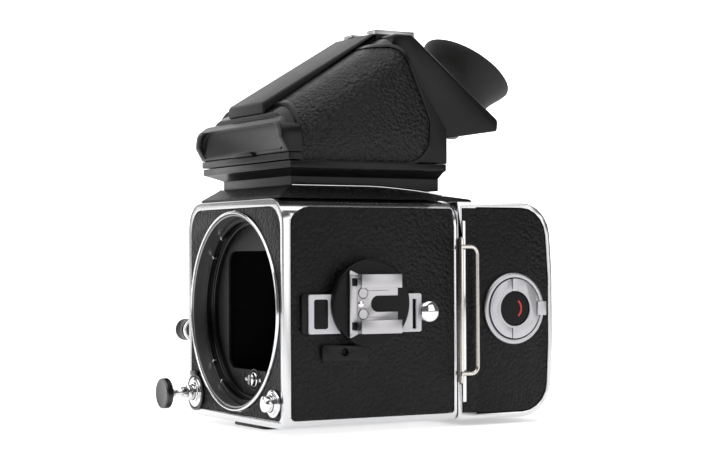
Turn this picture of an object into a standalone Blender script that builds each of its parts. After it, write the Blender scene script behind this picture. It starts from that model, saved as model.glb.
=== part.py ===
"""Modular 6 x 6 reflex camera body with a roll-film magazine, a 45-degree prism finder and a side shoe.

Blender 4.5. Sizes are named in millimetres and turned into metres once, in world() and in the shape helpers.
Body coordinates: x to the right as the camera is seen from its front, y backwards from the front leather,
z upwards from the lower edge of the leather. The origin of the scene is the centre of the foot's underside.
"""

import math

import bmesh
import bpy
from mathutils import Euler, Matrix, Vector

MM = 0.001
GAP = 0.3  # clearance between pieces that touch

# Body
BODY_WIDTH = 89.0
BODY_DEPTH = 80.0
LEATHER_HEIGHT = 83.4
RIM = 3.3  # metal above and below the leather
WALL = 3.2
LEATHER = 0.8
FRONT_LEATHER_WIDTH = 83.4
SIDE_LEATHER_FRONT = 3.6
SIDE_LEATHER_REAR_MARGIN = 1.8
TOP_CORNER = 11.0

# Lens mount
MOUNT_RADIUS = 40.9
MOUNT_RING_WALL = 1.1
MOUNT_RING_PROUD = 1.0
WELL_DEPTH = 6.0
WELL_WALL = 0.6
BAYONET_WIDTH = 3.4
BAFFLE_Y = 9.5
BAFFLE_THICKNESS = 1.2
THROAT_WIDTH = 49.2
THROAT_HEIGHT = 49.1
THROAT_CORNER = 5.0
THROAT_EDGE = 2.0  # metal left between the throat's corners and the baffle's rim
SHAFT_DROP = 28.5  # drive shaft below the lens axis
SHAFT_RADIUS = 3.2

# Buttons on the front
BUTTON_SIDE = 36.6
BUTTON_HEIGHT = 6.3
BUTTON_RADIUS = 3.2
BUTTON_CLEARANCE = 0.3

# Mirror and rear flaps
FRAME_SIZE = 56.0
BOX_WALL = 1.4
MIRROR_LENGTH = 57.0
MIRROR_WIDTH = 50.0
MIRROR_DROP = 11.0  # hinge below the upper edge of the leather
FLAP_THICKNESS = 1.0
SCREEN_THICKNESS = 1.6

# Winding crank
CRANK_Y = 28.0
CRANK_HUB_RADIUS = 15.0
CRANK_REACH = 24.5
CRANK_ANGLE = 203.0  # direction of the arm about the crank's axis, from +Y towards +Z

# Side rail and shoe
RAIL_Z = 41.2
RAIL_HEIGHT = 15.4
RAIL_FRONT = 7.3
RAIL_REAR = 61.2
DISC_Y = 36.4
DISC_Z = 45.3
DISC_RADIUS = 17.4
DISC_THICKNESS = 3.0
SHOE_SLOT = 12.6
SHOE_CHANNEL = 18.9
SHOE_WALL = 2.25
SHOE_DEPTH = 2.1
SHOE_LIP = 1.2

STUD_Y = 64.0
STUD_Z = 41.5

# Foot
FOOT_WIDTH = 30.6
FOOT_FRONT = 6.7
FOOT_REAR = 73.3
FOOT_THICKNESS = 2.4
SOCKET_SPACING = 20.0
SMALL_SOCKET_RADIUS = 3.2
LARGE_SOCKET_RADIUS = 4.7

# Magazine, y measured from its own front face
MAGAZINE_DEPTH = 47.5
MAGAZINE_WALL = 2.3
MAGAZINE_FRONT_WALL = 3.8
SLIDE_BLADE = 0.6
SLIDE_HEIGHT = 60.0
STRIP_FRONT = 2.5
STRIP_REAR = 8.9
KEY_SHIFT = 0.9  # key in front of the middle of the insert
KEY_Z = 42.0
KEY_RADIUS = 14.9
KEY_GROOVE = 7.3
SPOOL_RADIUS = 11.0
FLANGE_RADIUS = 12.4
SPOOL_Z = 17.0

# Finder, z measured from the top of the body
FAIRING_HEIGHT = 5.6
POCKET_FLOOR = 3.8
FINDER_BASE = 4.2
COLLAR_HALF = 31.3
BELT_MARGIN = 2.7
BELT_TOP = 14.9
HOUSING_HALF = 38.0
SHOULDER = 14.0
SPINE_HALF = 16.4
UPPER_SHOE_HALF = 13.5
UPPER_SHOE_FRONT = 59.5
UPPER_SHOE_REAR = 79.0
UPPER_SHOE_FLOOR = 68.1  # underside of the upper shoe, sunk into the roof
EYE_BLOCK_HALF = 30.0
ROOF_SLOPE = math.atan(0.634)
ROOF_START_Y = 7.9
ROOF_START_Z = 36.2
EYE_ELEVATION = math.radians(55.0)
EYE_Y = 102.1
EYE_Z = 42.8
EYECUP_RADIUS = 21.1
EYECUP_LENGTH = 21.5

# Worked out from the sizes above
HALF = BODY_WIDTH / 2
TOP = LEATHER_HEIGHT + RIM
AXIS_Z = LEATHER_HEIGHT / 2
FOOT_CENTRE = (FOOT_FRONT + FOOT_REAR) / 2
FOOT_DROP = RIM + GAP + FOOT_THICKNESS
MAGAZINE_Y = BODY_DEPTH + GAP + 0.1
SKIN = HALF + GAP  # first clear plane outside the side leather
GATE_HALF = FRAME_SIZE / 2
SLOPE = math.tan(ROOF_SLOPE)
WELL_RADIUS = MOUNT_RADIUS - MOUNT_RING_WALL - GAP
LUG_RADIUS = WELL_RADIUS - WELL_WALL - GAP
BAFFLE_RADIUS = LUG_RADIUS - 0.4
SHAFT_Z = AXIS_Z - min(SHAFT_DROP, LUG_RADIUS - BAYONET_WIDTH - SHAFT_RADIUS - GAP)
BELT_HALF = HOUSING_HALF + BELT_MARGIN
KEY_Y = (STRIP_REAR + MAGAZINE_DEPTH) / 2 - KEY_SHIFT
KEY_SIZE = min(KEY_RADIUS, KEY_Y - STRIP_REAR - 2 * GAP)
FLANGE_SIZE = min(FLANGE_RADIUS, MAGAZINE_DEPTH - MAGAZINE_WALL - KEY_Y - 2.0)
CORE_SIZE = min(SPOOL_RADIUS, FLANGE_SIZE - 1.4)

FINISHES = {
    "chrome": ((0.78, 0.78, 0.77), 0.22, 1.0),
    "satin_metal": ((0.55, 0.55, 0.56), 0.35, 1.0),
    "light_metal": ((0.68, 0.68, 0.69), 0.4, 1.0),
    "dark_metal": ((0.05, 0.05, 0.05), 0.4, 1.0),
    "black_paint": ((0.02, 0.02, 0.02), 0.45, 0.0),
    "inner_black": ((0.01, 0.01, 0.01), 0.8, 0.0),
    "leather": ((0.02, 0.019, 0.02), 0.7, 0.0),
    "wire": ((0.62, 0.55, 0.45), 0.3, 1.0),
    "rubber": ((0.015, 0.015, 0.015), 0.85, 0.0),
    "glass": ((0.6, 0.7, 0.68), 0.05, 0.0),
    "mirror": ((0.9, 0.9, 0.9), 0.03, 1.0),
}


def clear_scene():
    for old in list(bpy.data.objects):
        bpy.data.objects.remove(old)


def new_collection(name):
    collection = bpy.data.collections.new(name)
    bpy.context.scene.collection.children.link(collection)
    return collection


clear_scene()
CAMERA = new_collection("reflex_camera")
CUTTERS = new_collection("cutters")


def world(x, y, z):
    """Scene position of a point given in body coordinates."""
    return Vector((x, y - FOOT_CENTRE, z + FOOT_DROP)) * MM


def object_from_bmesh(name, bm):
    mesh = bpy.data.meshes.new(name)
    bm.to_mesh(mesh)
    bm.free()
    shape = bpy.data.objects.new(name, mesh)
    CAMERA.objects.link(shape)
    return shape


def box(name, low, high, bevel=0.0, segments=2):
    """A block between two corners, with all its edges rounded when bevel is given."""
    size = Vector(high) - Vector(low)
    bm = bmesh.new()
    bmesh.ops.create_cube(bm, size=1.0, matrix=Matrix.Diagonal((*(size * MM), 1.0)))
    shape = object_from_bmesh(name, bm)
    shape.location = world(*((Vector(high) + Vector(low)) / 2))
    if bevel:
        round_edges(shape, bevel, segments)
    return shape


def cylinder(name, centre, direction, radius, start, end, sides=32, end_radius=None):
    """A round bar from start to end along direction, measured from centre."""
    direction = Vector(direction).normalized()
    bm = bmesh.new()
    top = radius if end_radius is None else end_radius
    bmesh.ops.create_cone(
        bm,
        cap_ends=True,
        segments=sides,
        radius1=radius * MM,
        radius2=top * MM,
        depth=(end - start) * MM,
    )
    shape = object_from_bmesh(name, bm)
    shape.rotation_euler = direction.to_track_quat("Z", "Y").to_euler()
    shape.location = world(*(Vector(centre) + direction * (start + end) / 2))
    shade_round(shape)
    return shape


def turned(name, profile, centre, direction, sides=48, closed=True):
    """A turned shape from (radius, height) points that run down the outer side, then up the inner one."""
    bm = bmesh.new()
    points = [bm.verts.new((radius * MM, 0.0, height * MM)) for radius, height in profile]
    for first, second in zip(points, points[1:]):
        bm.edges.new((first, second))
    if closed:
        bm.edges.new((points[-1], points[0]))
    shape = object_from_bmesh(name, bm)
    screw = shape.modifiers.new("turn", "SCREW")
    screw.steps = sides
    screw.render_steps = sides
    screw.use_merge_vertices = True
    screw.merge_threshold = 0.00001
    shape.rotation_euler = Vector(direction).normalized().to_track_quat("Z", "Y").to_euler()
    shape.location = world(*centre)
    return shape


def rounded(corners, steps=5):
    """Outline points of a polygon given as (u, v, radius), each corner replaced by an arc."""
    outline = []
    count = len(corners)
    for index, (u, v, radius) in enumerate(corners):
        corner = Vector((u, v))
        if radius <= 0:
            outline.append((u, v))
            continue
        before = (Vector(corners[index - 1][:2]) - corner).normalized()
        after = (Vector(corners[(index + 1) % count][:2]) - corner).normalized()
        half_angle = before.angle(after) / 2
        middle = corner + (before + after).normalized() * radius / math.sin(half_angle)
        first = corner + before * radius / math.tan(half_angle) - middle
        last = corner + after * radius / math.tan(half_angle) - middle
        sweep = first.angle_signed(last)
        for step in range(steps + 1):
            turn = Matrix.Rotation(-sweep * step / steps, 2)
            outline.append(tuple(middle + turn @ first))
    return outline


PLANE_TURNS = {
    "YZ": Euler((math.pi / 2, 0.0, math.pi / 2)),
    "XZ": Euler((math.pi / 2, 0.0, 0.0)),
    "XY": Euler((0.0, 0.0, 0.0)),
}


def plate(name, outline, start, end, plane="YZ"):
    """A flat outline given as points in a plane, extruded between two heights across that plane."""
    curve = bpy.data.curves.new(name, "CURVE")
    curve.dimensions = "2D"
    curve.fill_mode = "BOTH"
    curve.extrude = (end - start) / 2 * MM
    spline = curve.splines.new("POLY")
    spline.points.add(len(outline) - 1)
    for point, (u, v) in zip(spline.points, outline):
        point.co = (u * MM, v * MM, 0.0, 1.0)
    spline.use_cyclic_u = True
    guide = bpy.data.objects.new(name + "_outline", curve)
    CAMERA.objects.link(guide)
    guide.rotation_euler = PLANE_TURNS[plane]
    middle = (start + end) / 2
    shift = {"YZ": (middle, 0, 0), "XZ": (0, middle, 0), "XY": (0, 0, middle)}[plane]
    guide.location = world(*shift)
    return mesh_from_curve(name, guide)


def mesh_from_curve(name, guide):
    """A mesh object with the evaluated shape and the place of a curve, which is then removed."""
    bpy.context.view_layer.update()
    graph = bpy.context.evaluated_depsgraph_get()
    mesh = bpy.data.meshes.new_from_object(guide.evaluated_get(graph))
    bm = bmesh.new()
    bm.from_mesh(mesh)
    bmesh.ops.remove_doubles(bm, verts=bm.verts, dist=0.000001)
    bm.to_mesh(mesh)
    bm.free()
    shape = bpy.data.objects.new(name, mesh)
    shape.matrix_world = guide.matrix_world.copy()
    CAMERA.objects.link(shape)
    bpy.data.objects.remove(guide)
    return shape


def wire(name, route, radius):
    """A round wire along a list of body points."""
    curve = bpy.data.curves.new(name, "CURVE")
    curve.dimensions = "3D"
    curve.bevel_depth = radius * MM
    curve.bevel_resolution = 2
    curve.use_fill_caps = True
    spline = curve.splines.new("POLY")
    spline.points.add(len(route) - 1)
    for point, place in zip(spline.points, route):
        point.co = (*(Vector(place) * MM), 1.0)
    shape = bpy.data.objects.new(name, curve)
    shape.location = world(0, 0, 0)
    CAMERA.objects.link(shape)
    return shape


def round_edges(shape, width, segments=2, angle=40.0):
    bevel = shape.modifiers.new("rounded_edges", "BEVEL")
    bevel.width = width * MM
    bevel.segments = segments
    bevel.limit_method = "ANGLE"
    bevel.angle_limit = math.radians(angle)
    return shape


def shade_round(shape):
    shape.data.shade_smooth()
    shape.data.set_sharp_from_angle(angle=math.radians(35))


def boolean(target, tool, operation):
    step = target.modifiers.new(tool.name, "BOOLEAN")
    step.operation = operation
    step.object = tool
    step.solver = "EXACT"
    if CAMERA in tool.users_collection:
        CAMERA.objects.unlink(tool)
        CUTTERS.objects.link(tool)
    tool.hide_render = True
    tool.display_type = "WIRE"
    return target


def cut(target, *tools):
    for tool in tools:
        boolean(target, tool, "DIFFERENCE")
    return target


def join(target, *tools):
    for tool in tools:
        boolean(target, tool, "UNION")
    return target


def keep_inside(target, *tools):
    for tool in tools:
        boolean(target, tool, "INTERSECT")
    return target


def finish(shape, name):
    """Gives the piece a material of its own in one of the finishes."""
    colour, roughness, metallic = FINISHES[name]
    material = bpy.data.materials.new(shape.name + "_" + name)
    material.use_nodes = True
    shader = material.node_tree.nodes["Principled BSDF"]
    shader.inputs["Base Color"].default_value = (*colour, 1.0)
    shader.inputs["Roughness"].default_value = roughness
    shader.inputs["Metallic"].default_value = metallic
    shape.data.materials.clear()
    shape.data.materials.append(material)
    return shape


def axis_empty(name, place):
    empty = bpy.data.objects.new(name, None)
    empty.location = world(*place)
    empty.empty_display_size = 0.01
    CAMERA.objects.link(empty)
    return empty


def hold(parent, *shapes):
    """Parents pieces to an empty and keeps them where they are."""
    bpy.context.view_layer.update()
    for shape in shapes:
        shape.parent = parent
        shape.matrix_parent_inverse = parent.matrix_world.inverted()


# Outlines -------------------------------------------------------------------------------------------------


def body_outline(margin=0.0):
    """Front view of the body: square below, with rounded upper corners. A margin makes it smaller."""
    low, high = -RIM + margin, TOP - margin
    side = HALF - margin
    lower, upper = 4.0, TOP_CORNER
    return rounded([(-side, low, lower), (side, low, lower), (side, high, upper), (-side, high, upper)])


def front_leather_outline(margin=0.0):
    side = FRONT_LEATHER_WIDTH / 2 - margin
    low, high = margin, LEATHER_HEIGHT - margin
    return rounded([(-side, low, 2.0), (side, low, 2.0), (side, high, 9.5), (-side, high, 9.5)])


def side_leather_outline(margin=0.0):
    front, rear = SIDE_LEATHER_FRONT + margin, BODY_DEPTH - SIDE_LEATHER_REAR_MARGIN - margin
    low, high = margin, LEATHER_HEIGHT - margin
    return rounded([(front, low, 2.0), (rear, low, 1.5), (rear, high, 1.5), (front, high, 8.0)])


def magazine_outline(inset, front=0.0):
    """Side view of the magazine: square in front, full and rounded behind. y is given in body coordinates."""
    low, high = -RIM + inset, TOP - 0.5 - inset
    back = MAGAZINE_Y + MAGAZINE_DEPTH - inset
    start = MAGAZINE_Y + front
    middle = (low + high) / 2
    corner = max(14.5 - inset, 1.0)
    return rounded(
        [
            (start, low, 0.0),
            (back - 1.4, low, corner),
            (back, middle - 14.0, 60.0),
            (back, middle + 14.0, 60.0),
            (back - 2.0, high, corner),
            (start, high, 0.0),
        ]
    )


# Body -----------------------------------------------------------------------------------------------------


def build_shell():
    shell = plate("body_shell", body_outline(), 0.0, BODY_DEPTH, "XZ")
    round_edges(shell, 1.6, 2, angle=60)
    inner = HALF - WALL - 0.3
    cavity = box("body_cavity", (-inner, WALL, 0), (inner, BODY_DEPTH + 1, LEATHER_HEIGHT))
    throat = cylinder("throat_bore", (0, 0, AXIS_Z), (0, 1, 0), MOUNT_RADIUS - 0.7, -3, WALL + 1, 48)
    seat = plate("front_leather_seat", front_leather_outline(-GAP), -1, LEATHER + 0.4, "XZ")
    well = box("finder_well", (-30.5, 12.5, LEATHER_HEIGHT - 1), (30.5, 73.5, TOP + 1))
    cut(shell, cavity, throat, seat, well)
    for side in (-1, 1):
        near, far = sorted((side * (HALF - LEATHER - 0.4), side * (HALF + 2)))
        cut(shell, plate(f"side_leather_seat_{side}", side_leather_outline(-GAP), near, far, "YZ"))
    for side in (-1, 1):
        place = (side * BUTTON_SIDE, 0, BUTTON_HEIGHT)
        radius = BUTTON_RADIUS + BUTTON_CLEARANCE + 0.1
        cut(shell, cylinder(f"button_hole_{side}", place, (0, 1, 0), radius, -3, WALL + 1, 24))
    cut(shell, cylinder("crank_hole", (-HALF, CRANK_Y, AXIS_Z), (1, 0, 0), 4.4, -3, WALL + 3, 24))
    for name, offset, radius in socket_places():
        place = (0, FOOT_CENTRE + offset, -RIM)
        cut(shell, cylinder(name + "_in_shell", place, (0, 0, 1), radius, -2, RIM * 0.7, 24))
    return finish(shell, "chrome")


def socket_places():
    return (
        ("small_socket", -SOCKET_SPACING / 2, SMALL_SOCKET_RADIUS),
        ("large_socket", SOCKET_SPACING / 2, LARGE_SOCKET_RADIUS),
    )


def build_leathers():
    front = plate("front_leather", front_leather_outline(), 0.1, LEATHER + 0.1, "XZ")
    cut(front, cylinder("ring_hole", (0, 0, AXIS_Z), (0, 1, 0), MOUNT_RADIUS + GAP, -2, 3, 48))
    for side in (-1, 1):
        place = (side * BUTTON_SIDE, 0, BUTTON_HEIGHT)
        radius = BUTTON_RADIUS + BUTTON_CLEARANCE + 0.1
        cut(front, cylinder(f"leather_button_hole_{side}", place, (0, 1, 0), radius, -3, 3, 24))
    inner, outer = HALF - LEATHER - 0.1, HALF - 0.1
    near = plate("left_leather", side_leather_outline(), inner, outer, "YZ")
    far = plate("right_leather", side_leather_outline(), -outer, -inner, "YZ")
    cut(far, cylinder("leather_crank_hole", (-HALF, CRANK_Y, AXIS_Z), (1, 0, 0), 4.4, -3, 3, 24))
    for shape in (front, near, far):
        finish(shape, "leather")


def build_mount():
    """Chrome ring, satin well, dark bayonet ring with four lugs, and the grey baffle with its throat."""
    centre = (0, 0, AXIS_Z)
    inner = MOUNT_RADIUS - MOUNT_RING_WALL
    wall = WELL_RADIUS
    lug = LUG_RADIUS
    ring = turned(
        "mount_ring",
        [(inner, 0.9), (MOUNT_RADIUS, 0.9), (MOUNT_RADIUS, -0.6), (MOUNT_RADIUS - 0.4, -MOUNT_RING_PROUD),
         (inner + 0.3, -MOUNT_RING_PROUD), (inner, -0.7)],
        centre, (0, 1, 0), 48,
    )
    well = turned(
        "mount_well",
        [(wall - WELL_WALL, WELL_DEPTH), (wall, WELL_DEPTH), (wall, -0.4), (wall - WELL_WALL, -0.4)],
        centre, (0, 1, 0), 48,
    )
    bayonet = turned(
        "bayonet_ring",
        [(lug - BAYONET_WIDTH, BAFFLE_Y - GAP), (lug, BAFFLE_Y - GAP), (lug, 4.8), (lug - 1.9, 4.8), (lug - 1.9, 5.9),
         (lug - 0.7, 5.9), (lug - 0.7, 7.2), (lug - BAYONET_WIDTH, 7.2)],
        centre, (0, 1, 0), 48,
    )
    for turn in (45, 135, 225, 315):
        notch = box(f"lug_notch_{turn}", (-5.5, 3, -4), (5.5, 6.2, 4))
        spot = Vector((math.cos(math.radians(turn)), 0, math.sin(math.radians(turn)))) * (lug - 1.5)
        notch.location = world(spot.x, 4.4, AXIS_Z + spot.z)
        notch.rotation_euler = (0, math.radians(90 - turn), 0)
        cut(bayonet, notch)
    finish(ring, "chrome")
    finish(well, "satin_metal")
    finish(bayonet, "dark_metal")

    back = BAFFLE_Y + BAFFLE_THICKNESS
    baffle = cylinder("front_baffle", centre, (0, 1, 0), BAFFLE_RADIUS, BAFFLE_Y, back, 48)
    half_w, half_h = THROAT_WIDTH / 2, THROAT_HEIGHT / 2
    corners = [(-half_w, -half_h), (half_w, -half_h), (half_w, half_h), (-half_w, half_h)]
    excess = math.hypot(half_w, half_h) - (BAFFLE_RADIUS - THROAT_EDGE)
    corner = max(THROAT_CORNER, excess / (math.sqrt(2) - 1))
    opening = rounded([(u, AXIS_Z + v, corner) for u, v in corners])
    cut(baffle, plate("throat_opening", opening, BAFFLE_Y - 2, back + 2, "XZ"))
    shaft = (0, 0, SHAFT_Z)
    cut(baffle, cylinder("shaft_hole", shaft, (0, 1, 0), SHAFT_RADIUS + GAP, BAFFLE_Y - 2, back + 2, 24))
    finish(baffle, "satin_metal")

    drive = cylinder("drive_shaft", shaft, (0, 1, 0), SHAFT_RADIUS, 7.4, back, 24)
    cut(drive, box("shaft_key_slot", (-0.8, 6, SHAFT_Z - 5), (0.8, 8.9, SHAFT_Z + 5)))
    hold(axis_empty("drive_shaft_axis", shaft), finish(drive, "chrome"))


def build_mirror_box():
    """Trough between the baffle and the rear plate, with the swinging mirror and the two flaps inside it."""
    front, rear = BAFFLE_Y + BAFFLE_THICKNESS + 0.5, BODY_DEPTH - 3.8
    inner = GATE_HALF
    floor = AXIS_Z - GATE_HALF - 1.3
    top = LEATHER_HEIGHT - 3.8
    trough = box("mirror_box", (-inner - BOX_WALL, front, floor - BOX_WALL), (inner + BOX_WALL, rear, top))
    cut(trough, box("mirror_box_hollow", (-inner, front - 1, floor), (inner, rear + 1, top + 1)))
    finish(trough, "inner_black")

    screen_low = top + 0.4
    half_w = inner + 2.0
    screen = box("focusing_screen", (-half_w, front + 1.8, screen_low), (half_w, 73.0, screen_low + SCREEN_THICKNESS))
    finish(screen, "glass")

    hinge = (0, BODY_DEPTH - 9.5, LEATHER_HEIGHT - MIRROR_DROP)
    half = MIRROR_WIDTH / 2
    tip = hinge[1] - MIRROR_LENGTH
    mirror = box("mirror", (-half, tip, hinge[2] - 1.0), (half, hinge[1] + 0.6, hinge[2] + 0.4))
    glass_top = hinge[2] - 0.8
    join(mirror, box("mirror_glass", (1 - half, tip + 1, glass_top - 1.6), (half - 1, hinge[1] - 2, glass_top)))
    hold(axis_empty("mirror_axis", hinge), finish(mirror, "mirror"))

    y = rear - 0.9
    length = GATE_HALF - 1.5
    for name, z in (("upper_flap", AXIS_Z + GATE_HALF - 1.1), ("lower_flap", AXIS_Z - GATE_HALF + 1.3)):
        thick = FLAP_THICKNESS / 2
        flap = box(name, (0.5 - inner, y - length, z - thick), (inner - 0.5, y + thick, z + thick))
        hold(axis_empty(name + "_axis", (0, y, z)), finish(flap, "inner_black"))


def build_rear_plate():
    side = HALF - WALL - 0.3 - GAP
    plate_shape = box(
        "rear_plate", (-side, BODY_DEPTH - 3.4, GAP), (side, BODY_DEPTH - 0.4, LEATHER_HEIGHT - GAP)
    )
    low, high = AXIS_Z - GATE_HALF, AXIS_Z + GATE_HALF
    cut(plate_shape, box("film_gate", (-GATE_HALF, BODY_DEPTH - 6, low), (GATE_HALF, BODY_DEPTH + 2, high)))
    finish(plate_shape, "black_paint")


def build_buttons():
    """Release button with its extension on one lower corner, lens lock on the other."""
    for name, side, plate_radius in (("lens_lock", 1, 5.5), ("release", -1, 6.4)):
        place = (side * BUTTON_SIDE, 0, BUTTON_HEIGHT)
        bore = BUTTON_RADIUS + BUTTON_CLEARANCE
        collar = turned(
            name + "_plate",
            [(bore, -0.2), (plate_radius, -0.2), (plate_radius, -0.9), (plate_radius - 0.4, -1.2),
             (bore + 0.9, -1.2), (bore + 0.7, -2.0), (bore, -2.0)],
            place, (0, 1, 0), 24,
        )
        finish(collar, "chrome")
    lock = turned(
        "lens_lock_button",
        [(0, 0.6), (BUTTON_RADIUS, 0.6), (BUTTON_RADIUS, -4.6), (BUTTON_RADIUS - 0.5, -5.1), (0, -5.1)],
        (BUTTON_SIDE, 0, BUTTON_HEIGHT), (0, 1, 0), 24, closed=False,
    )
    hold(axis_empty("lens_lock_axis", (BUTTON_SIDE, 0, BUTTON_HEIGHT)), finish(lock, "chrome"))

    place = (-BUTTON_SIDE, 0, BUTTON_HEIGHT)
    button = turned(
        "release_button",
        [(0, 1.2), (BUTTON_RADIUS, 1.2), (BUTTON_RADIUS, -4.6), (BUTTON_RADIUS - 0.6, -5.0), (0, -5.0)],
        place, (0, 1, 0), 24, closed=False,
    )
    extension = turned(
        "release_extension",
        [(0, -5.3), (2.0, -5.3), (2.0, -7.0), (1.1, -7.6), (1.1, -10.2), (2.6, -10.6), (2.6, -11.6), (6.4, -11.9),
         (6.4, -15.2), (5.9, -15.7), (3.0, -15.9), (2.6, -17.0), (0, -17.2)],
        place, (0, 1, 0), 24, closed=False,
    )
    axis = axis_empty("release_axis", place)
    hold(axis, finish(button, "chrome"), finish(extension, "dark_metal"))

    lever = turned(
        "time_lever", [(6.8, -0.2), (7.7, -0.2), (7.7, -1.0), (6.8, -1.0)], place, (0, 1, 0), 32
    )
    x = -BUTTON_SIDE
    tab = box("time_lever_tab", (x - 2.6, -1.9, BUTTON_HEIGHT + 7.2), (x + 2.6, -0.3, BUTTON_HEIGHT + 9.0))
    join(lever, tab)
    hold(axis_empty("time_lever_axis", place), finish(lever, "chrome"))


def build_crank():
    """Winding crank on the right side: hub and flat arm in one piece, and a knob that spins at its end."""
    hub_centre = (-HALF, CRANK_Y, AXIS_Z)
    outward = (-1, 0, 0)
    hub = turned(
        "winding_crank",
        [(0, 6.0), (9.0, 6.0), (CRANK_HUB_RADIUS - 1.5, 5.2), (CRANK_HUB_RADIUS, 3.8), (CRANK_HUB_RADIUS, 0.4),
         (4.0, 0.4), (4.0, -WALL - 1.5), (0, -WALL - 1.5)],
        hub_centre, outward, 36, closed=False,
    )
    axis = axis_empty("crank_axis", hub_centre)
    turn = math.radians(CRANK_ANGLE)
    knob_y = CRANK_Y + CRANK_REACH * math.cos(turn)
    knob_z = AXIS_Z + CRANK_REACH * math.sin(turn)
    join(hub, plate("crank_arm", arm_outline(knob_y, knob_z), -HALF - 7.4, -HALF - 5.5, "YZ"))
    knob_axis = axis_empty("crank_knob_axis", (-HALF - 7.7, knob_y, knob_z))
    knob = turned(
        "crank_knob",
        [(0, 9.0), (3.6, 9.0), (4.6, 8.2), (4.9, 4.0), (4.2, 0.6), (3.6, 0.0), (0, 0.0)],
        (-HALF - 7.7, knob_y, knob_z), outward, 20, closed=False,
    )
    hold(axis, finish(hub, "chrome"), knob_axis)
    hold(knob_axis, finish(knob, "black_paint"))


def arm_outline(knob_y, knob_z):
    """Tapered bar from the crank's axis to the knob, with round ends."""
    along = Vector((knob_y - CRANK_Y, knob_z - AXIS_Z)).normalized()
    side = Vector((-along.y, along.x))
    points = []
    for centre, radius, start in (((CRANK_Y, AXIS_Z), 7.0, 90), ((knob_y, knob_z), 5.0, -90)):
        for step in range(9):
            angle = math.radians(start + 180 * step / 8)
            offset = along * math.cos(angle) + side * math.sin(angle)
            points.append(tuple(Vector(centre) + offset * radius))
    return points


def build_side_fittings():
    """Strap studs on both sides, and the flash socket's plate on the left side."""
    for name, side in (("left_strap_stud", 1), ("right_strap_stud", -1)):
        stud = turned(
            name,
            [(0, 5.6), (2.8, 5.6), (4.0, 5.0), (4.3, 4.2), (4.0, 3.4), (2.2, 3.1), (2.2, 0.4), (0, 0.4)],
            (side * (HALF - 0.1), STUD_Y, STUD_Z), (side, 0, 0), 20, closed=False,
        )
        finish(stud, "chrome")
    outline = rounded([(16.4, 22.5, 1.2), (37.2, 22.5, 1.2), (37.2, 29.0, 1.2), (16.4, 29.0, 1.2)])
    socket = plate("flash_socket_plate", outline, SKIN, SKIN + 1.0, "YZ")
    cut(socket, cylinder("flash_socket_hole", (HALF, 26.5, 26.1), (1, 0, 0), 1.6, -2, 4, 20))
    finish(socket, "black_paint")


def build_shoe_adaptor():
    """Side rail with its plate, the round spacer and the accessory shoe on it."""
    low, high = RAIL_Z - RAIL_HEIGHT / 2, RAIL_Z + RAIL_HEIGHT / 2
    rail_outline = rounded([(RAIL_FRONT, low + 0.2, 1), (RAIL_REAR, low + 0.2, 1), (RAIL_REAR, high + 0.2, 1),
                            (RAIL_FRONT, high + 0.2, 1)])
    rail = plate("side_rail", rail_outline, SKIN, SKIN + 1.2, "YZ")
    finish(rail, "black_paint")
    plate_x = SKIN + 1.2 + GAP
    outline = rounded([(RAIL_FRONT + 2.6, low, 0.8), (RAIL_REAR, low, 0.8), (RAIL_REAR, high, 0.8),
                       (RAIL_FRONT + 2.6, high, 0.8)])
    adaptor = plate("adaptor_plate", outline, plate_x, plate_x + 1.0, "YZ")
    slot = box("adaptor_slot", (plate_x - 2, RAIL_REAR - 4.2, low + 1.2), (plate_x + 3, RAIL_REAR - 2.4, high - 2.2))
    finish(cut(adaptor, slot), "light_metal")

    disc_x = plate_x + 1.0 + GAP
    disc = turned(
        "adaptor_disc",
        [(0, DISC_THICKNESS), (DISC_RADIUS - 0.5, DISC_THICKNESS), (DISC_RADIUS, DISC_THICKNESS - 0.5),
         (DISC_RADIUS, 0), (0, 0)],
        (disc_x, DISC_Y, DISC_Z), (1, 0, 0), 40, closed=False,
    )
    finish(disc, "black_paint")

    base = disc_x + DISC_THICKNESS + GAP
    floor = base + 1.2
    roof = floor + SHOE_DEPTH
    edge = SHOE_CHANNEL / 2 + SHOE_WALL
    front, rear = 28.4, 47.3
    shoe = box("accessory_shoe", (base, front - 3.0, DISC_Z - 0.2 - edge), (roof + SHOE_LIP, rear, DISC_Z - 0.2 + edge))
    z = DISC_Z - 0.2
    channel = box("shoe_channel", (floor - 0.1, front + 0.2, z - SHOE_CHANNEL / 2), (roof, rear + 5, z + SHOE_CHANNEL / 2))
    slit = box("shoe_slit", (roof - 1, front - 1.0, z - SHOE_SLOT / 2), (roof + 5, rear + 5, z + SHOE_SLOT / 2))
    nose = box("shoe_nose", (floor, front - 5, z - edge - 1), (roof + 5, front + 0.5, z + edge + 1))
    arch = rounded([(35.0, z - 3.2, 3.1), (rear + 5, z - 3.2, 0), (rear + 5, z + 3.2, 0), (35.0, z + 3.2, 3.1)])
    mouth = plate("shoe_mouth", arch, base - 1, floor + 1, "YZ")
    cut(shoe, channel, slit, nose, mouth)
    finish(shoe, "light_metal")


def build_foot():
    half = FOOT_WIDTH / 2
    top = -RIM - GAP
    corners = [(-half, FOOT_FRONT), (half, FOOT_FRONT), (half, FOOT_REAR), (-half, FOOT_REAR)]
    outline = rounded([(u, v, 3.0) for u, v in corners])
    foot = plate("tripod_foot", outline, top - FOOT_THICKNESS, top, "XY")
    for name, offset, radius in socket_places():
        place = (0, FOOT_CENTRE + offset, top)
        cut(foot, cylinder(name, place, (0, 0, 1), radius, -FOOT_THICKNESS - 1, 1, 24))
    finish(foot, "black_paint")


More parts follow.
